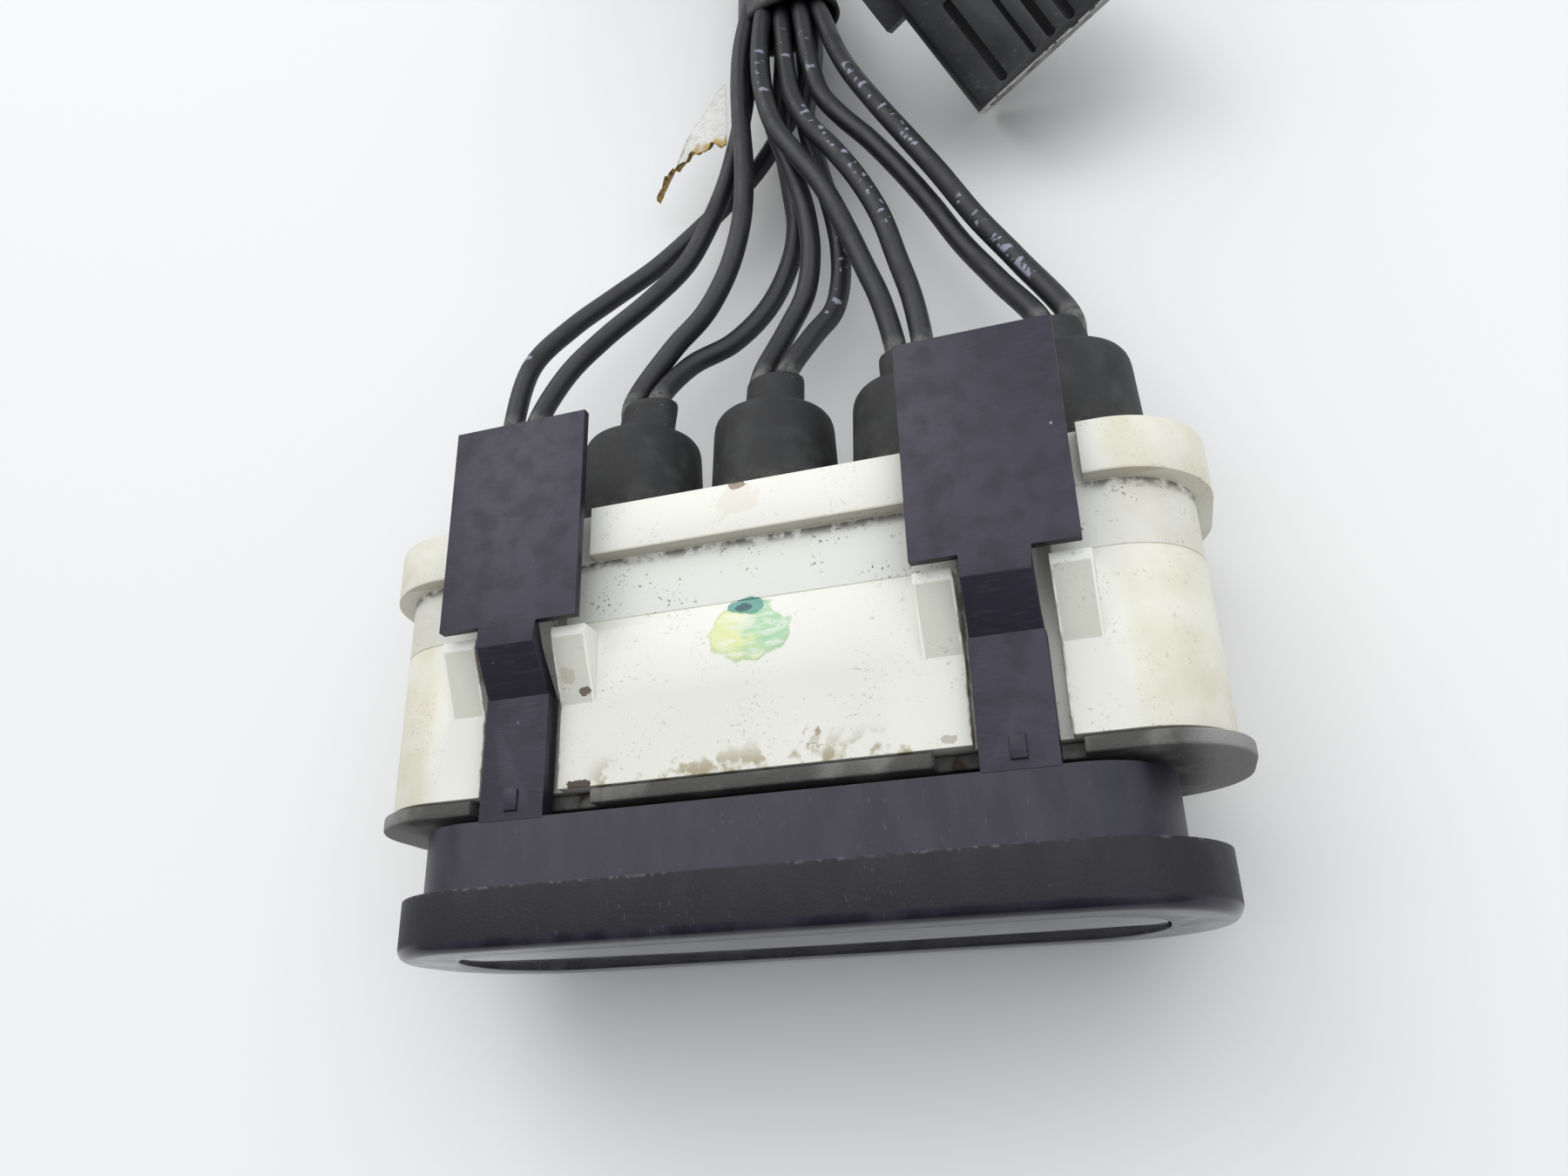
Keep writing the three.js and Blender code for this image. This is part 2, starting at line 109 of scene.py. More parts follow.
# bright overhead and behind, and dimmer where someone stands in front
sky_strength = room.nodes.new("ShaderNodeMath")
sky_strength.operation = "MULTIPLY"
room.links.new(sky_band((0.0, 0.3, 0.95), -0.1, 0.75, 0.46, 0.97), sky_strength.inputs[0])
room.links.new(sky_band((-0.09, -0.77, 0.63), 0.5, 0.86, 1.0, 0.5), sky_strength.inputs[1])
room.links.new(sky_strength.outputs[0], room.nodes["Background"].inputs["Strength"])
room.nodes["Background"].inputs["Color"].default_value = (0.94, 0.96, 1.0, 1)

for name, place, size, power, tint in (
    ("ceiling_light", (-0.62, 0.95, 1.05), 1.1, 6.8, (1.0, 0.99, 0.96)),
    ("window_light", (0.6, 0.35, 1.15), 1.6, 8.6, (0.96, 0.975, 1.0)),
):
    light = bpy.data.objects.new(name, bpy.data.lights.new(name, "AREA"))
    light.data.size = size
    light.data.energy = power
    light.data.color = tint
    light.location = place
    light.rotation_euler = (Vector((0, 0.02, 0)) - Vector(place)).to_track_quat("-Z", "Y").to_euler()
    bpy.context.scene.collection.objects.link(light)


# ---- Wires: ten stranded copper leads in black vinyl insulation, 3.2 mm across.
# Each pair leaves its lamp through the rubber boot's nipple and gathers towards the sleeve. Pale ink
# flecks are what is left of the marking along some of them.
class Signal:
    """An output in a finish's nodes. Arithmetic on it adds Math nodes."""

    def __init__(self, finish, socket):
        self.finish = finish
        self.socket = socket

    def math(self, operation, *values):
        return self.finish.node("ShaderNodeMath", {"operation": operation}, dict(enumerate(values)))

    def __add__(self, other):
        return self.math("ADD", self, other)

    __radd__ = __add__

    def __sub__(self, other):
        return self.math("SUBTRACT", self, other)

    def __rsub__(self, other):
        return self.math("SUBTRACT", other, self)

    def __mul__(self, other):
        return self.math("MULTIPLY", self, other)

    __rmul__ = __mul__

    def __abs__(self):
        return self.math("ABSOLUTE", self)

    def ramp(self, low, high):
        """0 below low and 1 above high, smooth between; low may be the larger one."""
        return self.finish.node(
            "ShaderNodeMapRange", {"interpolation_type": "SMOOTHSTEP"},
            {"Value": self, "From Min": low, "From Max": high})


class Finish:
    """A material built from nodes on the Principled shader."""

    def __init__(self, name, **constants):
        self.material = bpy.data.materials.new(name)
        self.material.use_nodes = True
        self.tree = self.material.node_tree
        self.shader = self.tree.nodes["Principled BSDF"]
        for socket, value in constants.items():
            self.shader.inputs[socket.replace("_", " ")].default_value = value
        self.place = self.node("ShaderNodeTexCoord", output="Object")
        parts = [
            self.node("ShaderNodeSeparateXYZ", values={0: self.place}, output=axis) for axis in "XYZ"]
        self.x = parts[0] * (1 / MM)
        self.y = (parts[1] - face_y) * (1 / MM)
        self.z = (parts[2] - middle_z) * (1 / MM)

    def node(self, kind, settings=None, values=None, output=0):
        made = self.tree.nodes.new(kind)
        for key, value in (settings or {}).items():
            setattr(made, key, value)
        for key, value in (values or {}).items():
            if isinstance(value, Signal):
                self.tree.links.new(value.socket, made.inputs[key])
            else:
                made.inputs[key].default_value = value
        return Signal(self, made.outputs[output])

    def noise(self, size, detail=2.0, stretch=(1, 1, 1), shift=0.0, place=None):
        """Soft random clouds about `size` millimetres across."""
        moved = self.node("ShaderNodeMapping", values={
            "Vector": place or self.place, "Location": (shift, shift, shift),
            "Scale": [1 / (size * MM * part) for part in stretch]})
        return self.node("ShaderNodeTexNoise", values={"Vector": moved, "Scale": 1.0, "Detail": detail})

    def specks(self, size, share, shift=0.0):
        """Small sharp-edged dots, a cell of `size` millimetres apart."""
        spacing = 1 / (size * MM)
        cells = self.node(
            "ShaderNodeTexVoronoi", values={"Vector": self.place, "Scale": spacing}, output="Distance")
        return cells.ramp(share, share * 0.55) * self.noise(size * 6, shift=shift).ramp(0.5, 0.62)

    def spot(self, x, y, half_width, half_depth, ragged=0.5, size=2.0, shift=0.0):
        """A ragged-edged spot seen from above, in millimetres."""
        across = (self.x - x) * (1 / half_width)
        behind = (self.y - y) * (1 / half_depth)
        edge = (self.noise(size, 5, shift=shift) - 0.5) * (6 * ragged)
        return (across * across + behind * behind + edge).ramp(1.1, 0.85)

    def mix(self, mask, under, over):
        """One colour over another by a mask."""
        return self.node(
            "ShaderNodeMix", {"data_type": "RGBA", "clamp_factor": True},
            {0: mask, 6: under, 7: over}, output=2)

    def coat(self, color, roughness, height=None, depth=0.1):
        """Feeds the shader; height is in units of depth millimetres."""
        for socket, value in (("Base Color", color), ("Roughness", roughness)):
            self.tree.links.new(value.socket, self.shader.inputs[socket])
        if height is not None:
            bump = self.node("ShaderNodeBump", values={
                "Height": height, "Strength": 1.0, "Distance": depth * MM}, output="Normal")
            self.tree.links.new(bump.socket, self.shader.inputs["Normal"])
        return self.material


def paint(piece, material):
    """Gives a piece one material all over."""
    piece.data.materials.clear()
    piece.data.materials.append(material)


def smooth_route(points, spacing=1.2 * MM):
    """Points along a smooth centripetal curve through the points of a route."""
    ends = [points[0] * 2 - points[1], points[-1] * 2 - points[-2]]
    padded = [ends[0], *points, ends[1]]
    route = []
    for a, b, c, d in zip(padded, padded[1:], padded[2:], padded[3:]):
        knots = [0.0]
        for start, end in ((a, b), (b, c), (c, d)):
            knots.append(knots[-1] + (end - start).length ** 0.5)
        steps = max(2, round((c - b).length / spacing))
        for step in range(steps):
            t = knots[1] + (knots[2] - knots[1]) * step / steps

            def between(start, end, first, last):
                return start.lerp(end, (t - knots[first]) / (knots[last] - knots[first]))

            ab, bc, cd = between(a, b, 0, 1), between(b, c, 1, 2), between(c, d, 2, 3)
            route.append(between(between(ab, bc, 0, 2), between(bc, cd, 1, 3), 1, 2))
    return [*route, points[-1]]


def route_length(route):
    return sum((b - a).length for a, b in zip(route, route[1:]))


def tube(name, route, section, sides, wall=0.0, wall_depth=0.0):
    """A tube along a route. section(distance) is its half-width and half-height there. With a wall
    it has an open mouth, wall_depth deep, at its start. Its UV map is millimetres along and a
    turn round."""
    rings = []
    travelled = 0.0
    for i, point in enumerate(route):
        if i:
            travelled += (point - route[i - 1]).length
        ahead = route[min(i + 1, len(route) - 1)] - route[max(i - 1, 0)]
        across = ahead.cross(Vector((0, 0, 1))).normalized()
        over = across.cross(ahead).normalized()
        rings.append((point, across, over, *section(travelled), travelled))
    if wall:
        mouth = [ring for ring in rings if ring[5] <= wall_depth]
        inner = [(p, a, o, w - wall, h - wall, s) for p, a, o, w, h, s in mouth]
        rings = inner[::-1] + rings
    shape = bmesh.new()
    layer = shape.loops.layers.uv.new("along")
    loops = []
    for point, across, over, width, height, _ in rings:
        turns = [2 * math.pi * k / sides for k in range(sides)]
        loops.append([
            shape.verts.new(point + across * (width * math.cos(t)) + over * (height * math.sin(t)))
            for t in turns])
    for i, (ring, following) in enumerate(zip(loops, loops[1:])):
        for k in range(sides):
            n = (k + 1) % sides
            face = shape.faces.new((ring[k], ring[n], following[n], following[k]))
            spots = ((i, k), (i, k + 1), (i + 1, k + 1), (i + 1, k))
            for loop, (row, column) in zip(face.loops, spots):
                loop[layer].uv = (rings[row][5] / MM, column / sides)
    shape.faces.new(loops[0][::-1])
    shape.faces.new(loops[-1])
    bmesh.ops.recalc_face_normals(shape, faces=shape.faces)
    mesh = bpy.data.meshes.new(name)
    shape.to_mesh(mesh)
    shape.free()
    mesh.shade_smooth()
    piece = bpy.data.objects.new(name, mesh)
    bpy.context.scene.collection.objects.link(piece)
    return piece


WIRE_RADIUS = 1.6
WIRE_ROUTES = {
    "1a": [(-43.1, 75.3, 0), (-43.1, 78.8, 0), (-41.3, 91.5, -1.5), (-35.9, 99.2, -3.9),
           (-29.6, 105.4, -6.3), (-23.5, 110.8, -8.2), (-17.9, 116.7, -9.7), (-12.5, 123.5, -11.5),
           (-7.4, 131.4, -13.8), (-3.3, 139, -14.9), (1.4, 148, -15), (2.2, 156.2, -15),
           (1.8, 165, -14.6)],
    "1b": [(-39.1, 75.3, 0), (-39.1, 78.8, 0), (-35.2, 88.7, -1.9), (-29.4, 94.9, -2.8),
           (-22.5, 101, -4), (-16.7, 107.6, -5.3), (-13.2, 114.8, -6), (-10.6, 122.9, -7),
           (-8.9, 132.7, -8.4), (-8, 144, -10.6), (-7.2, 154.8, -11.7), (-5.4, 166, -11.9)],
    "2a": [(-22.8, 75.3, 0), (-22.8, 78.8, 0), (-17, 89, -1.5), (-12, 94.7, -2),
           (-8.1, 101.6, -1.7), (-5.8, 110, -1.5), (-5.5, 121.8, -2.5), (-6.6, 134.2, -4.5),
           (-7.4, 146, -6.4), (-7.2, 154.8, -7.4), (-5.6, 166, -8.6)],
    "2b": [(-18.9, 75.3, 0), (-18.9, 78.8, 0), (-14.9, 86.6, -3.4), (-8.9, 91.1, -6),
           (-3.6, 97, -7.2), (-0.2, 104, -7.7), (1.2, 112, -8.5), (0.2, 122.4, -9.6),
           (-1.6, 136, -11.1), (-1.4, 147, -11.7), (-0.9, 155.8, -11.8), (-1.2, 166, -11.6)],
    "3a": [(-2.6, 75.3, 0), (-2.6, 78.8, 0), (0.6, 88.6, -3), (3.5, 96, -4.3), (4.6, 103.1, -4.2),
           (4.1, 111.1, -4.5), (2.2, 119.9, -5.6), (-1, 131.4, -6.6), (-3.6, 144, -8.5),
           (-4.4, 155.2, -9.6), (-3.6, 166, -10)],
    "3b": [(1.2, 75.3, 0), (1.2, 78.8, 0), (4.9, 87, -2.8), (7.6, 92, -4.8), (8.7, 98.2, -6),
           (8.7, 105.5, -6.7), (7.8, 112.6, -7.1), (5.6, 123.7, -7.9), (3.4, 136, -9.4),
           (4.4, 148, -11.6), (4.8, 156.5, -12.3), (3.6, 166, -12.2)],
    "4a": [(17.6, 75.3, 0), (17.6, 78.8, 0), (15.8, 88.7, -0.3), (13.7, 95.6, -0.6),
           (11.1, 103.9, -0.9), (7.6, 113.6, -1.4), (3.4, 121.8, -1.9), (0, 128.9, -2.3),
           (-2.3, 138.5, -3.5), (-3.3, 148, -5.2), (-3.4, 155.4, -6.5), (-2.8, 166, -8)],
    "4b": [(21.4, 75.3, 0), (21.4, 78.8, 0), (20.4, 87.8, -0.2), (18.7, 95.4, -0.2),
           (16.7, 103.9, -0.2), (13.4, 112.6, -0.6), (9.8, 120, -1.4), (5.8, 127.5, -2.8),
           (2.4, 137, -5), (0.8, 148, -7.2), (0.2, 155.9, -8), (-0.2, 166, -8.8)],
    "5a": [(37.8, 75.3, 0), (37.8, 78.8, 0), (32.4, 89.9, -2.8), (27.8, 99, -4.5),
           (23.7, 108.1, -5.1), (19.3, 116.7, -5.4), (14.7, 124.8, -5.8), (10.3, 131.6, -6.3),
           (7, 138, -6.8), (4.9, 148, -7.6), (4, 156.4, -7.9), (2.8, 166, -8.9)],
    "5b": [(41.7, 75.3, 0), (41.7, 78.8, 0), (35.6, 92, -2.2), (30.4, 101.4, -2.3),
           (25.8, 110.8, -2), (21.4, 119.7, -2.5), (16.6, 130.1, -4.1), (11.8, 142, -6.6),
           (9.3, 150, -7.9), (7.6, 157, -8.6), (5.2, 166, -9.8)],
}
# where along a wire the ink shows, in millimetres, and how far round it sits, in turns
WIRE_INK = {
    "3b": [(14, 44, 0.18)], "4b": [(26, 62, 0.2), (74, 84, 0.2)], "4a": [(60, 78, 0.2)],
    "5a": [(76, 86, 0.25)], "5b": [(11, 33, 0.3), (45, 74, 0.26)], "1a": [(16, 19, 0.3)],
}


def insulation(name, ink):
    """Satin black vinyl, dusty in places, with worn pale ink flecks."""
    finish = Finish(name, Specular_IOR_Level=0.5)
    uv = finish.node("ShaderNodeUVMap", {"uv_map": "along"})
    along = finish.node("ShaderNodeSeparateXYZ", values={0: uv}, output="X")
    turn = finish.node("ShaderNodeSeparateXYZ", values={0: uv}, output="Y")
    dust = finish.noise(5, 3).ramp(0.48, 0.75)
    color = finish.mix(dust * 0.5, (0.009, 0.009, 0.012, 1), (0.026, 0.025, 0.028, 1))
    stamp = finish.node("ShaderNodeCombineXYZ", values={0: along * 0.62, 1: turn * 4.2, 2: 0.0})
    flecks = finish.node("ShaderNodeTexNoise", values={"Vector": stamp, "Scale": 1.0, "Detail": 2.5})
    shown = flecks.ramp(0.56, 0.6)
    for start, end, middle in ink:
        inside = along.ramp(start - 0.5, start + 0.5) * along.ramp(end + 0.5, end - 0.5)
        stripe = abs(turn - middle).ramp(0.1, 0.05)
        color = finish.mix(shown * inside * stripe, color, (0.24, 0.24, 0.31, 1))
    root = along.ramp(6.5, 3.4) * finish.noise(1.2, 3).ramp(0.3, 0.6)
    color = finish.mix(root * 0.55, color, (0.19, 0.19, 0.17, 1))
    grain = finish.noise(0.5, 3, shift=3)
    return finish.coat(color, 0.42 + 0.2 * dust + 0.1 * grain, grain, depth=0.012)


plain_insulation = insulation("wire_insulation", [])
for key, points in WIRE_ROUTES.items():
    route = smooth_route([at(*point) for point in points])
    wire = tube(f"wire_{key}_lead", route, lambda s: (WIRE_RADIUS * MM, WIRE_RADIUS * MM), 20)
    printed = key in WIRE_INK
    paint(wire, insulation(f"wire_{key}_insulation", WIRE_INK[key]) if printed else plain_insulation)
    at(0, 79, 0)
    at(0, 110, 0)
    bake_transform(wire)
    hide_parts(f"wire_{key}")
    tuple(route[0])
    route_length(route)

# ---- Sleeve: soft black vinyl tubing that carries the ten wires round to the plug.
# It is cut off square where the wires enter, and their bundle flattens its mouth.
SLEEVE_RADIUS = 7.0
SLEEVE_MOUTH = (9.6, 5.6)
SLEEVE_WALL = 0.8
sleeve_points = [
    (0.6, 160.5, -10.7), (-0.2, 171, -11.4), (0.6, 184, -12), (4, 200, -12.2), (9, 216, -12.2),
    (15, 232, -12.2), (19.8, 248, -12.2), (21, 264, -12.2), (17.2, 278.3, -12.2), (6.8, 288.7, -12.2),
    (-7.5, 292.5, -12.2), (-21.8, 288.7, -12.2), (-32.2, 278.3, -12.2), (-36, 264, -12.2),
    (-34.6, 252.5, -12), (-29.4, 241.7, -10), (-22.2, 232, -4.5), (-15.6, 223.2, 5),
    (-9.7, 215.2, 15.3), (-3.7, 207.1, 25.2), (2.2, 199.1, 32), (8.2, 191.1, 34.8),
    (13, 184.6, 34), (17.7, 178.2, 31), (22.4, 172, 26)]
sleeve_route = smooth_route([at(*point) for point in sleeve_points], 2 * MM)


def sleeve_section(distance):
    """Flat at the mouth and round from 35 mm on."""
    flat = max(0.0, 1 - distance / (35 * MM)) ** 1.5
    return tuple((SLEEVE_RADIUS + (mouth - SLEEVE_RADIUS) * flat) * MM for mouth in SLEEVE_MOUTH)


sleeve = tube("sleeve_tubing", sleeve_route, sleeve_section, 40, SLEEVE_WALL * MM, 10 * MM)
vinyl = Finish("sleeve_vinyl", Specular_IOR_Level=0.5)
creases = vinyl.noise(6, 3, stretch=(1, 2.5, 1))
vinyl_dust = vinyl.noise(3, 4, shift=7).ramp(0.5, 0.8)
paint(sleeve, vinyl.coat(
    vinyl.mix(vinyl_dust, (0.014, 0.014, 0.016, 1), (0.04, 0.039, 0.038, 1)),
    0.38 + 0.25 * vinyl_dust, creases, depth=0.35))
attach(sleeve, "cluster")
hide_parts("sleeve")
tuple(sleeve_route[0])
route_length(sleeve_route)

# ---- Bezel: one black ABS moulding. The flange sits on the dash panel, and the neck goes through it.
# The flange has a fine-textured rim. Its face and the neck are smooth, and its rear corner is scuffed.
FLANGE = dict(half_width=50, half_height=16.5, corner=15)
NECK = dict(half_width=45.5, half_height=15.25, corner=10)
LENS = dict(half_width=42.2, half_height=10.8, corner=9.8)
TUNNEL = dict(half_width=40.5, half_height=9.2, corner=8.5)
FILTER = dict(half_width=43.2, half_height=11, corner=9)
SEAT_GAP = 0.3


def make_active(piece):
    bpy.ops.object.select_all(action="DESELECT")
    piece.select_set(True)
    bpy.context.view_layer.objects.active = piece


def block(name, low, high):
    """A block between two opposite corners."""
    bpy.ops.object.select_all(action="DESELECT")
    bpy.ops.mesh.primitive_cube_add(size=1, location=(low + high) / 2, scale=high - low)
    bpy.ops.object.transform_apply(location=True, rotation=True, scale=True)
    bpy.context.object.name = name
    return bpy.context.object


def bevel_edges(piece, chosen, offset, segments):
    """Bevels, in edit mode, the edges whose two ends pass a test."""
    make_active(piece)
    bpy.ops.object.mode_set(mode="EDIT")
    bpy.ops.mesh.select_mode(type="EDGE")
    bpy.ops.mesh.select_all(action="DESELECT")
    shape = bmesh.from_edit_mesh(piece.data)
    for edge in shape.edges:
        edge.select_set(chosen(edge.verts[0].co, edge.verts[1].co))
    bmesh.update_edit_mesh(piece.data)
    bpy.ops.mesh.bevel(offset=offset * MM, segments=segments, affect="EDGES")
    bpy.ops.object.mode_set(mode="OBJECT")


def plate(name, front, rear, half_width, half_height, corner, grow=0.0, segments=20):
    """A flat plate across Y with round corners."""
    low = at(-half_width - grow, front, -half_height - grow)
    high = at(half_width + grow, rear, half_height + grow)
    piece = block(name, low, high)
    bevel_edges(piece, lambda a, b: abs(a.y - b.y) > 0.01 * MM, corner + grow, segments)
    return piece


def carve(piece, *tools, operation="DIFFERENCE"):
    """Cuts tools out of a piece, or joins them to it, and uses them up."""
    make_active(piece)
    for tool in tools:
        modifier = piece.modifiers.new("carve", "BOOLEAN")
        modifier.operation = operation
        modifier.solver = "EXACT"
        modifier.object = tool
        bpy.ops.object.modifier_apply(modifier=modifier.name)
        bpy.data.objects.remove(tool)
    return piece


def ease(piece, width, segments=2, angle=30):
    """Breaks the sharp edges of a moulding and shades its curves smooth."""
    make_active(piece)
    bpy.ops.object.mode_set(mode="EDIT")
    bpy.ops.mesh.select_all(action="SELECT")
    bpy.ops.mesh.remove_doubles(threshold=0.002 * MM)
    bpy.ops.mesh.dissolve_limited(angle_limit=math.radians(0.3))
    bpy.ops.object.mode_set(mode="OBJECT")
    modifier = piece.modifiers.new("ease", "BEVEL")
    modifier.width = width * MM
    modifier.segments = segments
    modifier.limit_method = "ANGLE"
    modifier.angle_limit = math.radians(angle)
    bpy.ops.object.modifier_apply(modifier=modifier.name)
    bpy.ops.object.shade_smooth_by_angle(angle=math.radians(angle))
    return piece


bezel = plate("bezel_shell", 0, 7, **FLANGE, segments=32)
bevel_edges(bezel, lambda a, b: max(a.y, b.y) < face_y + 0.01 * MM, 1.5, 6)
carve(bezel, plate("neck", 6, 14.9, **NECK, segments=24), operation="UNION")
carve(
    bezel,
    plate("lens_seat", -1, 2.5 + SEAT_GAP, **LENS, grow=SEAT_GAP),
    plate("tunnel", 1, 16, **TUNNEL),
    plate("filter_seat", 9.5 - SEAT_GAP, 16, **FILTER, grow=SEAT_GAP))
ease(bezel, 0.22)
abs_plastic = Finish("bezel_abs", Specular_IOR_Level=0.4, Specular_Tint=(0.93, 0.91, 1.0, 1))
textured = abs_plastic.y.ramp(7.15, 6.85) * abs_plastic.y.ramp(0.9, 1.7)
facing = abs_plastic.y.ramp(1.5, 0.8)
grain = abs_plastic.noise(0.35, 2)
bloom = abs_plastic.noise(7, 5, stretch=(0.45, 1.3, 1), shift=2).ramp(0.36, 0.66)
scuffs = (
    abs_plastic.noise(1.1, 5, stretch=(0.35, 1, 1), shift=5).ramp(0.62, 0.7)
    * abs_plastic.noise(11, shift=9).ramp(0.45, 0.6))
rim_wear = (
    abs(abs_plastic.y - 7.0).ramp(0.4, 0.1) * abs_plastic.noise(0.8, 5, shift=4).ramp(0.48, 0.6)
    * abs_plastic.noise(9, shift=11).ramp(0.38, 0.55))
marks = scuffs.math("MAXIMUM", scuffs * 0.15, rim_wear * 0.45)
abs_color = abs_plastic.mix(bloom, (0.006, 0.0055, 0.01, 1), (0.022, 0.02, 0.03, 1))
abs_color = abs_plastic.mix(textured, abs_color, (0.0075, 0.0075, 0.0085, 1))
abs_color = abs_plastic.mix(marks, abs_color, (0.16, 0.16, 0.17, 1))
paint(bezel, abs_plastic.coat(
    abs_color, 0.38 + 0.16 * textured - 0.24 * facing + 0.08 * bloom + 0.15 * marks,
    grain * (0.04 + 0.96 * textured) + 0.35 * marks, depth=0.05))
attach(bezel, "cluster")
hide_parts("bezel")

# ---- Lens: a smoked acrylic window, pressed into the bezel's face, almost flush.
# It is glossy, with fine wiping scratches.
lens = plate("lens_window", 0.3, 2.5, **LENS, segments=28)
ease(lens, 0.1, 2)
smoked = Finish("lens_smoked", Specular_IOR_Level=1.0)
wipes = smoked.noise(0.6, 4, stretch=(0.06, 1, 1)).ramp(0.55, 0.75)
smudge = smoked.noise(9, 3, shift=3).ramp(0.4, 0.7)
paint(lens, smoked.coat(
    smoked.mix(smudge, (0.1, 0.098, 0.096, 1), (0.14, 0.138, 0.134, 1)),
    0.04 + 0.05 * smudge + 0.04 * wipes, wipes, 0.002))
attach(lens, "cluster")
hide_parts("lens")

# ---- Filter plate: a thin printed film plate behind the tunnel, one coloured pane for each lamp.
# Black ink masks the film between the panes.
LAMP_PITCH = 20.2
LAMP_SHIFT = -0.7
lamp_x = [LAMP_SHIFT + (k - 2) * LAMP_PITCH for k in range(5)]
film_plate = plate("filter_film_plate", 9.5, 10.9, **FILTER)
ease(film_plate, 0.15)
film = Finish("filter_film", Specular_IOR_Level=0.5)
film_color = film.mix(film.noise(4, 3), (0.02, 0.02, 0.02, 1), (0.028, 0.028, 0.028, 1))
RED, AMBER = (0.5, 0.03, 0.02, 1), (0.6, 0.25, 0.02, 1)
GREEN, BLUE = (0.03, 0.35, 0.06, 1), (0.02, 0.08, 0.5, 1)
for x, pane in zip(lamp_x, (RED, AMBER, GREEN, AMBER, BLUE)):
    inside = abs(film.x - x).ramp(7.6, 7.4) * abs(film.z).ramp(6.1, 5.9)
    film_color = film.mix(inside, film_color, pane)
paint(film_plate, film.coat(film_color, 0.3 + 0.1 * film.noise(2, 3), film.noise(0.4, 2), 0.01))
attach(film_plate, "cluster")
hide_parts("filter_plate")

# ---- Gasket: a flat ring of dark closed-cell foam between the lamp housing and the dash panel.
# Its corners are soft, and it is notched where the latch arms pass.
GASKET = dict(half_width=54, half_height=13.6, corner=11)
GASKET_HOLE = dict(half_width=43, half_height=9.6, corner=9)
NOTCH_INNER, NOTCH_OUTER, NOTCH_FLOOR = 20.5, 36.5, 11.2


def four_blocks(inner, outer, front, rear, low, high):
    """The same block on both sides, above and below."""
    for side in (-1, 1):
        for face in (-1, 1):
            xs = sorted((side * inner, side * outer))
            zs = sorted((face * low, face * high))
            yield block("cutter", at(xs[0], front, zs[0]), at(xs[1], rear, zs[1]))


GASKET_FRONT, GASKET_REAR = 16.2, 18.0
gasket = plate("gasket_foam", GASKET_FRONT, GASKET_REAR, **GASKET, segments=28)
carve(
    gasket, plate("hole", GASKET_FRONT - 1.2, GASKET_REAR + 1, **GASKET_HOLE),
    *four_blocks(NOTCH_INNER, NOTCH_OUTER, GASKET_FRONT - 1.2, GASKET_REAR + 1, NOTCH_FLOOR, 20))
ease(gasket, 0.3, 3)
foam = Finish("gasket_foam_finish", Specular_IOR_Level=0.3)
pores = foam.noise(0.3, 3)
rubbed = foam.noise(5, 4, shift=6).ramp(0.45, 0.7)
foam_color = foam.mix(rubbed, (0.075, 0.074, 0.07, 1), (0.16, 0.158, 0.148, 1))
foam_ends = abs(foam.x).ramp(45, 50)
foam_color = foam.mix(foam_ends * 0.8, foam_color, (0.3, 0.298, 0.285, 1))
rust = foam.noise(2.2, 4, shift=8).ramp(0.55, 0.68) * abs(abs(foam.x) - 22.5).ramp(4.5, 2.5)
foam_color = foam.mix(rust * 0.8, foam_color, (0.03, 0.014, 0.006, 1))
paint(gasket, foam.coat(foam_color, 0.85 + 0.1 * pores, pores + 0.5 * foam.noise(3, 3, shift=1), 0.12))
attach(gasket, "cluster")
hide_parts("gasket")

# ---- Lamp housing: a cream moulding in two shells welded on a line, a stepped lip at its rear end.
# Wedges beside each channel guide the latch arms. It is stained in places, and its channel walls and
# its front edge by the gasket are darker in patches. Painted shade greys the wedges' slopes and the deck
# just in front of the lip, and, with some grime, the lip's front face. An inspector's green dab of ink
# has run on its top.
HOUSING = dict(half_width=52.4, half_height=13.4, corner=10)
HOUSING_FRONT, HOUSING_REAR = 18.3, 54.1
LIP = dict(half_width=54.5, half_height=15.6, corner=12)
LIP_FRONT, LIP_INNER, LIP_OUTER = 47.4, 20.8, 40.2
CHANNEL_INNER, CHANNEL_OUTER, CHANNEL_FLOOR = 24.9, 35.5, 11.6
WEDGE_WIDTH, WEDGE_TOE, WEDGE_CREST, WEDGE_REAR, WEDGE_HEIGHT = 4.6, 28.5, 36.4, 37.7, 17.0
WELD_LINE, WELD_DEPTH, WELD_WIDTH = 39.1, 0.16, 0.16


def wedge(side, x, face):
    """A block whose front is drawn down to the housing's surface."""
    xs = sorted((side * (x - WEDGE_WIDTH / 2), side * (x + WEDGE_WIDTH / 2)))
    zs = sorted((face * (CHANNEL_FLOOR + 0.4), face * WEDGE_HEIGHT))
    piece = block("wedge", at(xs[0], WEDGE_TOE, zs[0]), at(xs[1], WEDGE_REAR, zs[1]))
    crest = middle_z + face * WEDGE_HEIGHT * MM
    toe = face_y + WEDGE_TOE * MM

    def at_front_crest(*ends):
        return all(abs(end.z - crest) < 1e-6 and abs(end.y - toe) < 1e-6 for end in ends)

    bevel_edges(piece, at_front_crest, 0.05, 1)
    for vertex in piece.data.vertices:
        if abs(vertex.co.y - toe) < 0.04 * MM and abs(vertex.co.z - crest) < 0.2 * MM:
            vertex.co.z = middle_z + face * (HOUSING["half_height"] - 0.02) * MM
        elif abs(vertex.co.z - crest) < 1e-6 and vertex.co.y < toe + 0.2 * MM:
            vertex.co.y = face_y + WEDGE_CREST * MM
    return piece


